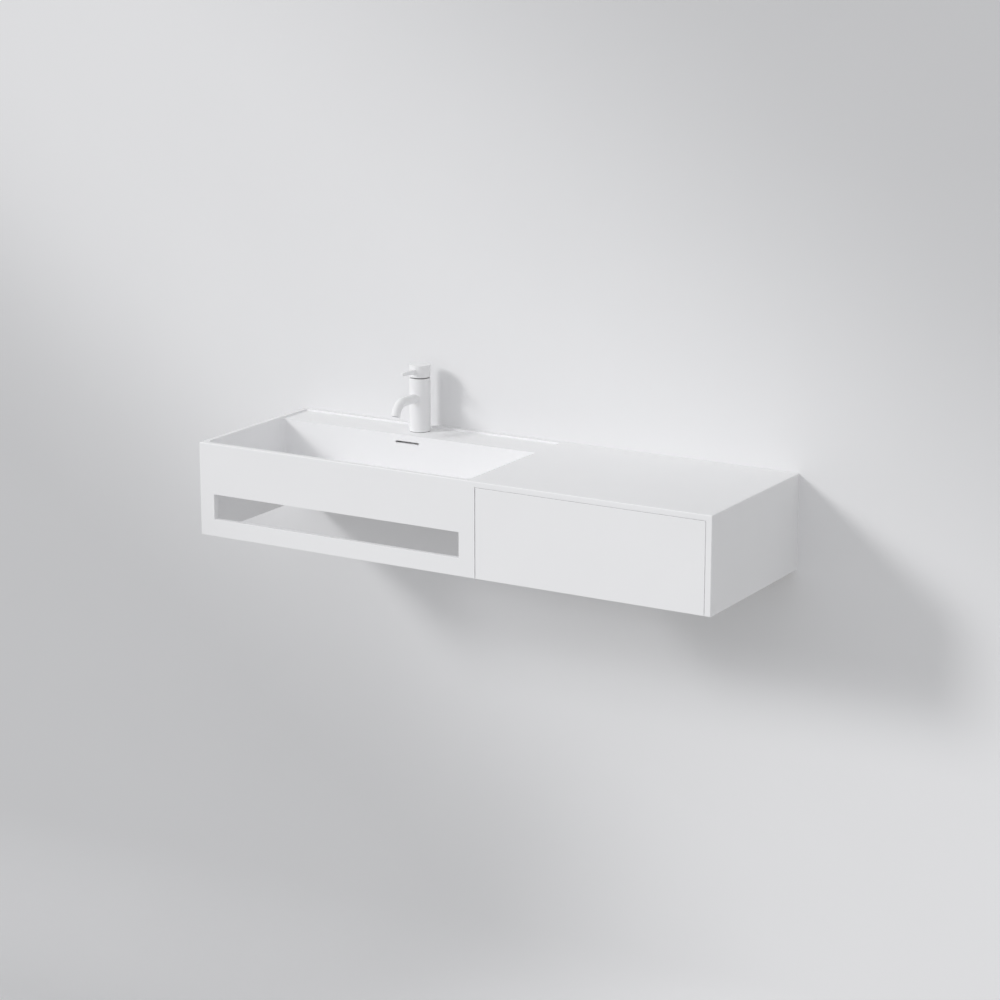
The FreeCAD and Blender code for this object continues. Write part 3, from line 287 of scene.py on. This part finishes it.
def stage_finish():
    """Matt paint that fades far off, clear to the rays that should pass the wall."""
    finish = Finish("studio_white")
    ray = add_node(finish.tree, "ShaderNodeLightPath", {}, {})
    eye, mirror, lens, bounce = [Shade(finish.tree, find(ray.outputs, f"Is {kind} Ray"))
                                 for kind in ("Camera", "Glossy", "Transmission", "Diffuse")]
    x, y, z = finish.axes()
    low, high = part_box("basin_top")
    beside = (x > high.x).larger(low.x > x).larger(z > high.z).larger(cad_box[0][2] > z)
    upright = z > COVE - FLOOR_DROP
    seen = eye.larger(mirror).larger(lens).larger(bounce * beside * upright)
    front = 1 - finish.node("NewGeometry", output="Backfacing")
    grain = finish.noise(3.0)
    paint = finish.blend(grain, *WALL_TONES)
    paint = finish.blend(bounce, paint, (BOUNCE, BOUNCE, BOUNCE))
    dull = {"Base Color": paint, "Roughness": 1.0, "Specular IOR Level": 0.0}
    matt = finish.node("BsdfPrincipled", {}, dull)
    clear = finish.node("BsdfTransparent")
    haze = finish.node("Emission", {}, {"Color": (*PALE, 1.0), "Strength": PALE_LEVEL})
    reach = finish.node("VectorMath", {"operation": "LENGTH"}, {"Vector": finish.place()}, "Value")
    fade = finish.node("MapRange", {"interpolation_type": "SMOOTHSTEP"},
                       {"Value": reach, "From Min": HAZE[0], "From Max": HAZE[1]})
    sheet = finish.mixed(fade, matt, haze)
    return finish.ended(finish.mixed(seen * front, clear, sheet))


studio_wall = make_stage()
studio_wall.data.materials.append(stage_finish())
print("stage:", len(studio_wall.data.polygons), "faces, floor at", -FLOOR_DROP)

# %% [markdown]
# ## Light
# In the photograph the shadows fall to the lower right and have soft edges, so the source is large and
# far off, up to the left. Two sun lamps with wide discs, one a little above the other, make such a
# source and light the whole unit evenly. A grey-white world, brighter overhead, fills the rest; the
# camera sees it as pale as the floor, so no horizon shows. White walls pass light on to each other, and
# most of all inside the bowl, so the lamps are kept low enough for the bowl too, not only for the
# outside of the block.

# %% Light
KEYS = {"low_key": ((1.0, 1.0, -0.6), 0.14), "high_key": ((1.0, 1.0, -0.75), 0.25)}
KEY_DISC = 13.0
WORLD_LEVEL = 0.585
WORLD_HIGH = 0.15


def add_sun(name, aim, level):
    """A sun lamp that shines along a direction."""
    data = bpy.data.lights.new(name, "SUN")
    data.energy = level * math.pi
    data.angle = math.radians(KEY_DISC)
    lamp = bpy.data.objects.new(name, data)
    lamp.rotation_euler = Vector(aim).to_track_quat("-Z", "Y").to_euler()
    scene.collection.objects.link(lamp)


def studio_world():
    """A grey-white surround, a little brighter overhead."""
    world = bpy.data.worlds.new("studio")
    world.use_nodes = True
    tree = world.node_tree
    tree.nodes.clear()
    way = add_node(tree, "ShaderNodeTexCoord", {}, {})
    split = add_node(tree, "ShaderNodeSeparateXYZ", {}, {"Vector": find(way.outputs, "Generated")})
    ray = add_node(tree, "ShaderNodeLightPath", {}, {})
    seen = Shade(tree, find(ray.outputs, "Is Camera Ray"))
    up = Shade(tree, split.outputs[2])
    level = WORLD_LEVEL + WORLD_HIGH * up
    level = level + (PALE_LEVEL - level) * seen
    glow = add_node(tree, "ShaderNodeBackground", {}, {"Color": (*PALE, 1.0), "Strength": level})
    add_node(tree, "ShaderNodeOutputWorld", {}, {"Surface": glow.outputs[0]})
    return world


for name, (aim, level) in KEYS.items():
    add_sun(name, aim, level)
scene.world = studio_world()
scene.world.cycles.sampling_method = "NONE"
print("lamps:", list(KEYS))

# %% [markdown]
# ## Scrims
# In the photograph the lamp lights a soft slanting band of the wall and leaves two corners dimmer. A
# photographer does that with scrims, thin cloths hung in the light out of the picture. Two stage sheets
# do it here. They let a part of the light through and only cast shadows: the farther a sheet hangs from
# the wall, the softer its edge.

# %% Scrims
BAND_SLOPE = math.radians(35)
BAND_AIM = Vector((0.706, 0.527, -0.474)).normalized()
SCRIM_PASS = 0.12
SCRIMS = {
    "upper_scrim": {"edge": 0.78, "distance": 4.4, "ends": (-3.2, 3.2), "reach": 4.0},
    "lower_scrim": {"edge": -0.55, "distance": 3.1, "ends": (-3.2, 1.5), "reach": -1.8},
}


def scrim_finish():
    """Cloth that lets the same share of light through all over."""
    finish = Finish("scrim_cloth")
    return finish.ended(finish.node("BsdfTransparent", {}, {"Color": colour((SCRIM_PASS,) * 3)}))


def make_scrim(name, cloth, edge, distance, ends, reach):
    """A sheet whose straight edge trims the key lamps along a line on the wall."""
    along = Vector((math.cos(BAND_SLOPE), 0, -math.sin(BAND_SLOPE)))
    across = Vector((math.sin(BAND_SLOPE), 0, math.cos(BAND_SLOPE)))
    near = across * edge - BAND_AIM * distance
    far = near + across * reach
    mesh = bpy.data.meshes.new(name)
    start, stop = (along * end for end in ends)
    corners = [near + start, near + stop, far + stop, far + start]
    mesh.from_pydata(corners, [], [(0, 1, 2, 3)])
    mesh.materials.append(cloth)
    scrim = bpy.data.objects.new(name, mesh)
    scene.collection.objects.link(scrim)
    for ray in ("camera", "diffuse", "glossy", "transmission"):
        setattr(scrim, f"visible_{ray}", False)
    return scrim


scrim_cloth = scrim_finish()
scrims = [make_scrim(name, scrim_cloth, **place) for name, place in SCRIMS.items()]
print("scrims:", [scrim.name for scrim in scrims])

# %% [markdown]
# ## Solid surface
# The block is cast mineral resin: white, matt and the same all through. Up close it has a faint cloud
# in its white and a sanded skin. Two noises give both: a wide one moves the colour and the gloss a
# little, and a very fine one roughens the surface through a bump far smaller than a tenth of a
# millimetre.

# %% Solid surface
def solid_surface():
    finish = Finish("solid_surface")
    cloud = finish.noise(9.0, 3.0)
    skin = finish.noise(900.0, 3.0)
    white = finish.blend(cloud * 0.7 + skin * 0.3, (0.91, 0.91, 0.92), (0.94, 0.94, 0.95))
    return finish.surface(Base_Color=white, Roughness=0.52 + 0.08 * cloud + 0.08 * skin,
                          Specular_IOR_Level=0.3, Normal=finish.relief(skin, 0.02 * MM))


FINISHES = {"solid_surface": solid_surface()}
print("finishes:", list(FINISHES))

# %% [markdown]
# ## Powder coat
# The tap is brass under matt white powder. Powder melts into a skin with the gentle waves of orange
# peel, one to two millimetres apart, so its bump is coarser than that of the block and its gloss is a
# little higher.

# %% Powder coat
def powder_coat():
    finish = Finish("tap_white")
    peel = finish.noise(700.0, 1.0)
    fleck = finish.noise(2600.0, 2.0)
    white = finish.blend(fleck, (0.895, 0.895, 0.905), (0.925, 0.925, 0.93))
    return finish.surface(Base_Color=white, Roughness=0.44 + 0.1 * peel + 0.06 * fleck,
                          Specular_IOR_Level=0.3, Normal=finish.relief(peel, 0.05 * MM))


FINISHES["tap_white"] = powder_coat()
print("finishes:", list(FINISHES))

# %% [markdown]
# ## Boards
# The drawer box is board with a pale grey laminate, pressed with a fine linen. Two triangle waves along
# the board's own directions make that linen. The wall rails are birch plywood: long grain on the faces,
# and thin light and dark layers on the edges, which are told apart by where the surface looks.

# %% Boards
LINEN_PITCH = 0.9 * MM
PLY_LAYER = 1.8 * MM
FACE_ON = 0.7


def laminate():
    finish = Finish("drawer_board")
    x, y, z = finish.axes()
    weave = (x + z).wrapped(LINEN_PITCH) + (y + z).wrapped(LINEN_PITCH)
    linen = weave * (0.5 / LINEN_PITCH)
    fleck = finish.noise(160.0, 4.0)
    grey = finish.blend(0.5 * linen + 0.5 * fleck, (0.60, 0.595, 0.58), (0.70, 0.695, 0.68))
    return finish.surface(Base_Color=grey, Roughness=0.42 + 0.12 * fleck,
                          Normal=finish.relief(linen, 0.06 * MM))


def plywood():
    finish = Finish("rail_board")
    across = finish.axes()[1]
    face = finish.facing()[1] > FACE_ON
    grain = finish.noise(60.0, 5.0, (0.08, 1, 1))
    fibre = finish.noise(420.0, 3.0, (0.05, 1, 1))
    layer = (across.wrapped(PLY_LAYER) * (1 / PLY_LAYER)) > 0.5
    streak = 1.8 * grain + 1.2 * fibre - 1.0
    wood = finish.blend(streak, (0.46, 0.31, 0.17), (0.76, 0.62, 0.44))
    edge = finish.blend(layer * 0.7 + 0.3 * fibre, (0.36, 0.23, 0.12), (0.70, 0.55, 0.37))
    tone = finish.blend(face, edge, wood)
    return finish.surface(Base_Color=tone, Roughness=0.5 + 0.15 * grain,
                          Normal=finish.relief(fibre, 0.08 * MM))


FINISHES["drawer_board"] = laminate()
FINISHES["rail_board"] = plywood()
print("finishes:", list(FINISHES))

# %% [markdown]
# ## Metals
# Zinc-plated runners and screws, turned brass and bright chrome are all metals, so they differ in
# colour, in gloss and in the marks of their making: the strip's rolling lines run along the runner,
# the brass has turning rings about its own axis, and chrome only has a trace of haze.

# %% Metals
def zinc_plate():
    finish = Finish("zinc_steel")
    rolled = finish.noise(500.0, 3.0, (1, 0.03, 1))
    bloom = finish.noise(70.0, 3.0)
    tone = finish.blend(0.5 * rolled + 0.5 * bloom, (0.52, 0.53, 0.54), (0.68, 0.69, 0.70))
    return finish.surface(Base_Color=tone, Metallic=1.0, Roughness=0.26 + 0.12 * rolled + 0.1 * bloom,
                          Normal=finish.relief(rolled, 0.015 * MM))


def turned_brass():
    finish = Finish("brass")
    rings = finish.noise(900.0, 2.0, (0.05, 0.05, 1))
    stain = finish.noise(90.0, 3.0)
    tone = finish.blend(stain, (0.62, 0.43, 0.18), (0.78, 0.60, 0.32))
    return finish.surface(Base_Color=tone, Metallic=1.0, Roughness=0.24 + 0.14 * stain + 0.06 * rings,
                          Normal=finish.relief(rings, 0.02 * MM))


def bright_chrome():
    finish = Finish("waste_chrome")
    haze = finish.noise(120.0, 3.0)
    tone = finish.blend(haze, (0.70, 0.71, 0.72), (0.80, 0.81, 0.82))
    return finish.surface(Base_Color=tone, Metallic=1.0, Roughness=0.05 + 0.07 * haze)


FINISHES["zinc_steel"] = zinc_plate()
FINISHES["brass"] = turned_brass()
FINISHES["waste_chrome"] = bright_chrome()
print("finishes:", list(FINISHES))

# %% [markdown]
# ## Plastics and rubber
# The overflow duct is white moulded plastic, the works of the tap are pale grey plastic, and the seals
# are black rubber. Mould texture is a fine even grain; rubber is duller and a little dusty.

# %% Plastics and rubber
def moulded_plastic(name, dark, light):
    finish = Finish(name)
    grain = finish.noise(1100.0, 2.0)
    flow = finish.noise(25.0, 2.0)
    tone = finish.blend(0.6 * flow + 0.4 * grain, dark, light)
    return finish.surface(Base_Color=tone, Roughness=0.42 + 0.14 * grain,
                          Normal=finish.relief(grain, 0.03 * MM))


def black_rubber():
    finish = Finish("seal_rubber")
    dust = finish.noise(300.0, 4.0)
    tone = finish.blend(dust, (0.025, 0.025, 0.026), (0.07, 0.07, 0.068))
    return finish.surface(Base_Color=tone, Roughness=0.7 + 0.15 * dust,
                          Normal=finish.relief(dust, 0.04 * MM))


PLASTICS = {"duct_plastic": ((0.82, 0.82, 0.81), (0.88, 0.88, 0.87)),
            "cartridge_plastic": ((0.60, 0.61, 0.61), (0.70, 0.71, 0.71))}
for name, tones in PLASTICS.items():
    FINISHES[name] = moulded_plastic(name, *tones)
FINISHES["seal_rubber"] = black_rubber()
print("finishes:", list(FINISHES))

# %% [markdown]
# ## Dressing the nodes
# The record says which material slot and which moving body each node belongs to. Every node gets the
# finish of its slot, also those that a finer piece takes the place of further on.

# %% Dressing the nodes
SLOT_OF = {part["node"]: part["material_slot"] for part in frame["record"]["subparts"]}
BODY_OF = {node: body for body, nodes in frame["record"]["behaviour"]["bodies"].items() for node in nodes}
for node, thing in frame["nodes"].items():
    thing.data.materials.clear()
    thing.data.materials.append(FINISHES[SLOT_OF[node]])
print("dressed nodes:", len(frame["nodes"]))

# %% [markdown]
# ## Smooth skins
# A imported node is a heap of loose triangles, each shaded flat, so a rounded edge shows its facets. A
# copy is merged at its corners and shaded smooth. Smooth shading alone would smear the flat faces near
# a rounding; a Weighted Normal modifier lets the large face win at each corner, so flats stay flat and
# only the rounding turns.

# %% Smooth skins
MERGE = 0.002 * MM
SHARP = math.radians(32)
FLAT = math.radians(0.5)
LARGE_FACES_WIN = 90


def stand_for(piece, node):
    """Let a finished piece take the place of a CAD node."""
    scene.collection.objects.link(piece)
    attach(piece, BODY_OF[node])
    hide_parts(node)
    return piece


def merged(node, name, whole_faces=False):
    """A merged, smooth-shaded copy of a CAD node in its finish."""
    mesh = bpy.data.meshes.new(name)
    shape = bmesh.new()
    shape.from_mesh(frame["nodes"][node].data)
    bmesh.ops.remove_doubles(shape, verts=shape.verts, dist=MERGE)
    if whole_faces:
        bmesh.ops.dissolve_limit(shape, angle_limit=FLAT, verts=shape.verts, edges=shape.edges)
    shape.to_mesh(mesh)
    shape.free()
    flat = mesh.attributes.get("custom_normal")
    if flat:
        mesh.attributes.remove(flat)
    mesh.shade_smooth()
    mesh.set_sharp_from_angle(angle=SHARP)
    mesh.materials.clear()
    mesh.materials.append(FINISHES[SLOT_OF[node]])
    return bpy.data.objects.new(name, mesh)


def smooth_skin(node):
    """A smooth copy of a node whose flat faces keep their shading."""
    piece = merged(node, f"{node}_skin")
    even = piece.modifiers.new("even", "WEIGHTED_NORMAL")
    even.mode = "FACE_AREA"
    even.weight = LARGE_FACES_WIN
    even.keep_sharp = True
    return stand_for(piece, node)


ROUNDED = ["basin_top", "towel_frame", "left_side_panel", "right_side_panel", "drawer_front",
           "tap_column", "tap_spout", "aerator_ring", "aerator_insert", "tap_base_gasket",
           "lever_cap", "lever_bar", "lever_stem", "waste_body", "waste_plug", "plug_seal",
           "plug_guide", "nut_seal", "flange_seal", "cartridge_nut", "cartridge_spindle",
           "mixer_cartridge", "clamp_pad", "tap_stud", "lever_pivot_pin", "lever_grub_screw"]
skins = [smooth_skin(node) for node in ROUNDED]
print("smooth skins:", len(skins))

# %% [markdown]
# ## Broken edges
# Boards and sheet steel come off the saw or the press with square edges, and every maker breaks them a
# little: 0.6 mm on board, less on steel. A Bevel modifier does the same on merged copies. The triangles
# of each flat are first joined to whole faces, so the bevel meets clean corners, and its hardened
# normals keep the flats flat.

# %% Broken edges
BOARD_EDGE = 0.6 * MM
SHEET_EDGE = 0.25 * MM
BOARDS = ["divider_panel", "drawer_box_front", "drawer_side_left", "drawer_side_right", "drawer_back",
          "drawer_base", "back_rail_left", "back_rail_right", "lower_back_rail", "overflow_duct"]
SHEETS = ["bolt_plates", "tap_clamp", "runner_outer_left", "runner_outer_right", "runner_middle_left",
          "runner_middle_right", "runner_inner_left", "runner_inner_right"]


def broken_edges(node, width):
    """A copy of a node whose sharp edges are taken off by a narrow bevel."""
    piece = merged(node, f"{node}_skin", whole_faces=True)
    edge = piece.modifiers.new("edge", "BEVEL")
    edge.width = width
    edge.segments = 2
    edge.limit_method = "ANGLE"
    edge.angle_limit = SHARP
    edge.harden_normals = True
    return stand_for(piece, node)


edged = [broken_edges(node, BOARD_EDGE) for node in BOARDS]
edged += [broken_edges(node, SHEET_EDGE) for node in SHEETS]
print("broken edges:", len(edged))

# %% [markdown]
# ## A recipe for repeats
# Screws and threads repeat one small shape many times, which is work for Geometry Nodes. A `Recipe`
# builds a tree with named inputs. To use it, it is hung on a cloud of points, its inputs are set, and
# the result is kept as a plain mesh.

# %% A recipe for repeats
class Recipe:
    """A Geometry Nodes tree with named inputs."""

    def __init__(self, name):
        self.tree = bpy.data.node_groups.new(name, "GeometryNodeTree")
        for way in ("INPUT", "OUTPUT"):
            self.tree.interface.new_socket("Geometry", in_out=way, socket_type="NodeSocketGeometry")
        self.source = self.tree.nodes.new("NodeGroupInput")
        self.keys = {}

    def given(self, name, kind="Float"):
        item = self.tree.interface.new_socket(name, in_out="INPUT", socket_type=f"NodeSocket{kind}")
        self.keys[name] = item.identifier
        return Shade(self.tree, find(self.source.outputs, item.identifier))

    def node(self, kind, settings=None, sockets=None, output=0):
        return shaded(self.tree, kind, settings, sockets, output)

    def triple(self, x, y, z):
        return self.node("ShaderNodeCombineXYZ", {}, {"X": x, "Y": y, "Z": z})

    def points(self):
        return Shade(self.tree, self.source.outputs[0])

    def ended(self, geometry):
        whole = self.node("GeometryNodeRealizeInstances", {}, {"Geometry": geometry})
        finish = self.given("Finish", "Material")
        dressed = self.node("GeometryNodeSetMaterial", {}, {"Geometry": whole, "Material": finish})
        add_node(self.tree, "NodeGroupOutput", {}, {"Geometry": dressed})
        return self

    def grown(self, name, places, **values):
        """The recipe run on a list of points, as an object with a plain mesh."""
        mesh = bpy.data.meshes.new(f"{name}_points")
        mesh.from_pydata(places, [], [])
        piece = bpy.data.objects.new(name, mesh)
        scene.collection.objects.link(piece)
        run = piece.modifiers.new("recipe", "NODES")
        run.node_group = self.tree
        for key, value in values.items():
            run[self.keys[key]] = value
        graph = bpy.context.evaluated_depsgraph_get()
        piece.data = bpy.data.meshes.new_from_object(piece.evaluated_get(graph))
        piece.modifiers.remove(run)
        scene.collection.objects.unlink(piece)
        return piece


print("recipe helper ready")

# %% [markdown]
# ## Screws
# Four screws hold the drawer front, and rows of low pan heads hold each runner to its board. A head is a
# flat cone with a cross cut out of it by a Boolean. Each one is turned by a seeded random angle, as
# nobody drives screws to the same stop.

# %% Screws
HEAD_SIDES = 40
SHANK_SIDES = 24
HEAD_TOP = 0.74
CROSS_SPAN = 1.2
CROSS_WIDTH = 0.24
CROSS_HEIGHT = 1.3
TURN_MOST = 1.5
TURN_SEED = 7


def screw_recipe():
    """Cross heads on plain shanks, one on each point, all with the same aim."""
    recipe = Recipe("cross_head_screws")
    radius, height = recipe.given("Radius"), recipe.given("Height")
    shank, length = recipe.given("Shank"), recipe.given("Length")
    aim = recipe.given("Aim", "Rotation")
    cone = {"Vertices": HEAD_SIDES, "Radius Top": HEAD_TOP * radius, "Radius Bottom": radius,
            "Depth": height}
    head = recipe.node("GeometryNodeMeshCone", {}, cone)
    top = recipe.triple(0.0, 0.0, height)
    cuts = [recipe.triple(CROSS_SPAN * radius, CROSS_WIDTH * radius, CROSS_HEIGHT * height),
            recipe.triple(CROSS_WIDTH * radius, CROSS_SPAN * radius, CROSS_HEIGHT * height)]
    cross = recipe.tree.nodes.new("GeometryNodeMeshBoolean")
    cross.operation = "DIFFERENCE"
    cross.solver = "MANIFOLD"
    plug(recipe.tree, find(cross.inputs, "Mesh 1"), head)
    for size in cuts:
        blade = recipe.node("GeometryNodeMeshCube", {}, {"Size": size})
        moved = recipe.node("GeometryNodeTransform", {}, {"Geometry": blade, "Translation": top})
        plug(recipe.tree, find(cross.inputs, "Mesh 2"), moved)
    rod = {"Vertices": SHANK_SIDES, "Radius": shank, "Depth": length}
    bolt = recipe.node("GeometryNodeMeshCylinder", {}, rod)
    below = recipe.triple(0.0, 0.0, -0.5 * length)
    bolt = recipe.node("GeometryNodeTransform", {}, {"Geometry": bolt, "Translation": below})
    screw = recipe.tree.nodes.new("GeometryNodeJoinGeometry")
    for part in (Shade(recipe.tree, cross.outputs[0]), bolt):
        plug(recipe.tree, screw.inputs[0], part)
    placed = {"Points": recipe.points(), "Instance": Shade(recipe.tree, screw.outputs[0]), "Rotation": aim}
    row = recipe.node("GeometryNodeInstanceOnPoints", {}, placed)
    spin = recipe.node("FunctionNodeRandomValue", {"data_type": "FLOAT"},
                       {"Min_001": 0.0, "Max_001": TURN_MOST, "Seed": TURN_SEED}, "Value_001")
    turn = {"Instances": row, "Rotation": recipe.triple(0.0, 0.0, spin)}
    return recipe.ended(recipe.node("GeometryNodeRotateInstances", {}, turn))


SCREWS = screw_recipe()
print("screw recipe:", len(SCREWS.tree.nodes), "nodes")

# %% [markdown]
# The front's screws look back into the drawer, and each runner's row looks away from its board. The
# rows are fastener detail of this model alone; the front's screws take the place of a CAD node.

# %% Screws in place
FRONT_HEAD = 4.0 * MM
FRONT_HEAD_HEIGHT = 2.4 * MM
FRONT_SHANK = 2.0 * MM
RUNNER_SHEET = 1.2 * MM
RUNNER_HEAD = 3.4 * MM
RUNNER_HEAD_HEIGHT = 1.5 * MM
RUNNER_SHANK = 1.6 * MM
SCREW_STEPS = (0.09, 0.30, 0.52, 0.74, 0.94)

low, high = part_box("front_screws")
middles = [(x, high.y - FRONT_HEAD_HEIGHT, z) for x in (low.x + FRONT_HEAD, high.x - FRONT_HEAD)
           for z in (low.z + FRONT_HEAD, high.z - FRONT_HEAD)]
front_screws = SCREWS.grown("front_screws_cross_head", middles, Radius=FRONT_HEAD,
                            Height=FRONT_HEAD_HEIGHT, Shank=FRONT_SHANK,
                            Length=high.y - low.y - FRONT_HEAD_HEIGHT,
                            Aim=(math.radians(-90), 0, 0), Finish=FINISHES["zinc_steel"])
stand_for(front_screws, "front_screws")


def runner_screws(node, inward):
    """A row of low heads on the web of a runner, looking along +X or -X."""
    low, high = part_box(node)
    web = low.x + RUNNER_SHEET if inward > 0 else high.x - RUNNER_SHEET
    places = [(web, low.y + step * (high.y - low.y), (low.z + high.z) / 2) for step in SCREW_STEPS]
    piece = SCREWS.grown(f"{node}_screws", places, Radius=RUNNER_HEAD, Height=RUNNER_HEAD_HEIGHT,
                         Shank=RUNNER_SHANK, Length=RUNNER_SHEET,
                         Aim=(0, math.radians(90) * inward, 0), Finish=FINISHES["zinc_steel"])
    scene.collection.objects.link(piece)
    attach(piece, BODY_OF[node])
    return piece


rows = [runner_screws("runner_outer_left", 1), runner_screws("runner_inner_left", -1),
        runner_screws("runner_outer_right", -1), runner_screws("runner_inner_right", 1)]
print("screws:", len(middles), "front,", len(rows) * len(SCREW_STEPS), "on the runners")

# %% [markdown]
# ## Threads
# The waste's outlet takes a trap and the tap's stud takes a nut, so both carry threads. A thread is a
# bar wound round a core: a spiral curve swept with a small diamond, sunk so that only its crest stands
# out of the plain cylinder.

# %% Threads
TURN_POINTS = 48
OUTLET_RISE = 1.2 * MM
OUTLET_LENGTH = 10.4 * MM
OUTLET_PITCH = 2.3 * MM
OUTLET_BAR = 0.7 * MM
OUTLET_RADIUS = 20.75 * MM
STUD_MARGIN = 0.8 * MM
STUD_PITCH = 1.25 * MM
STUD_BAR = 0.42 * MM
STUD_SINK = 0.1 * MM


def thread_recipe():
    """A four-sided bar wound into a spiral that stands on a point."""
    recipe = Recipe("wound_thread")
    radius, length = recipe.given("Radius"), recipe.given("Length")
    pitch, depth = recipe.given("Pitch"), recipe.given("Depth")
    rounds = {"Resolution": TURN_POINTS, "Rotations": length / pitch, "Start Radius": radius,
              "End Radius": radius, "Height": length}
    spiral = recipe.node("GeometryNodeCurveSpiral", {}, rounds)
    upright = recipe.node("GeometryNodeSetCurveNormal", {"mode": "Z_UP"}, {"Curve": spiral})
    bar = recipe.node("GeometryNodeCurvePrimitiveCircle", {}, {"Resolution": 4, "Radius": depth})
    swept = {"Curve": upright, "Profile Curve": bar, "Fill Caps": True}
    wound = recipe.node("GeometryNodeCurveToMesh", {}, swept)
    sharp = recipe.node("GeometryNodeSetShadeSmooth", {}, {"Geometry": wound, "Shade Smooth": False})
    placed = {"Points": recipe.points(), "Instance": sharp}
    return recipe.ended(recipe.node("GeometryNodeInstanceOnPoints", {}, placed))


THREADS = thread_recipe()


def add_thread(name, node, bottom, length, pitch, depth, radius):
    """A thread about the upright middle line of a node."""
    low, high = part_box(node)
    place = ((low.x + high.x) / 2, (low.y + high.y) / 2, bottom)
    piece = THREADS.grown(name, [place], Radius=radius, Length=length, Pitch=pitch, Depth=depth,
                          Finish=FINISHES[SLOT_OF[node]])
    scene.collection.objects.link(piece)
    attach(piece, BODY_OF[node])
    return piece


waste_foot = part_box("waste_body")[0].z
outlet_thread = add_thread("waste_outlet_thread", "waste_body", waste_foot + OUTLET_RISE,
                           OUTLET_LENGTH, OUTLET_PITCH, OUTLET_BAR, OUTLET_RADIUS)
stud_low, stud_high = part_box("tap_stud")
stud_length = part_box("tap_nut")[0].z - stud_low.z
stud_radius = (stud_high.x - stud_low.x) / 2
stud_thread = add_thread("tap_stud_thread", "tap_stud", stud_low.z + STUD_MARGIN,
                         stud_length - 2 * STUD_MARGIN, STUD_PITCH, STUD_BAR, stud_radius - STUD_SINK)
print("threads:", len(outlet_thread.data.polygons), "and", len(stud_thread.data.polygons), "faces")

# %% [markdown]
# ## Nuts
# A turned nut is a six-sided bar whose corners are taken down by a cone at both ends. Going round it in
# small steps, the outline is the hexagon, and the ends drop wherever the hexagon is wider than the cone.

# %% Nuts
NUT_STEPS = 96
NUT_CONE = math.tan(math.radians(30))
NUT_FACE = 0.985
NUT_SHARP = math.radians(12)
HEX_STEP = 60


def nut_outline(corner, flats, bore, foot, head):
    """Radius and height round a slice of a nut, at an angle from the middle of a flat."""
    wide = flats / 2 / math.cos(corner)
    cut = min(wide, flats / 2 * NUT_FACE)
    drop = (wide - cut) * NUT_CONE
    return [(bore, foot), (cut, foot), (wide, foot + drop), (wide, head - drop), (cut, head), (bore, head)]


def chamfered_nut(node):
    """A nut of the node's own box and bore, with its corners turned down."""
    low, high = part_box(node)
    middle = (low + high) / 2
    size = high - low
    flats = min(size.x, size.y)
    turn = 0 if size.x > size.y else HEX_STEP / 2
    corners = frame["nodes"][node].data.vertices
    bore = min(math.hypot(v.co.x - middle.x, v.co.y - middle.y) for v in corners)
    shape = bmesh.new()
    rings = []
    for step in range(NUT_STEPS):
        angle = 360 * step / NUT_STEPS
        corner = math.radians((angle - turn) % HEX_STEP - HEX_STEP / 2)
        outline = nut_outline(corner, flats, bore, low.z, high.z)
        way = Vector((math.cos(math.radians(angle)), math.sin(math.radians(angle)), 0))
        rings.append([shape.verts.new((middle.x + r * way.x, middle.y + r * way.y, z)) for r, z in outline])
    for one, two in zip(rings, rings[1:] + rings[:1]):
        for index in range(len(one)):
            after = (index + 1) % len(one)
            shape.faces.new((one[index], two[index], two[after], one[after]))
    bmesh.ops.recalc_face_normals(shape, faces=shape.faces)
    mesh = bpy.data.meshes.new(f"{node}_chamfered")
    shape.to_mesh(mesh)
    shape.free()
    mesh.shade_smooth()
    mesh.set_sharp_from_angle(angle=NUT_SHARP)
    mesh.materials.append(FINISHES[SLOT_OF[node]])
    return stand_for(bpy.data.objects.new(mesh.name, mesh), node)


nuts = [chamfered_nut(node) for node in ("waste_nut", "tap_nut")]
print("nuts:", [nut.name for nut in nuts])
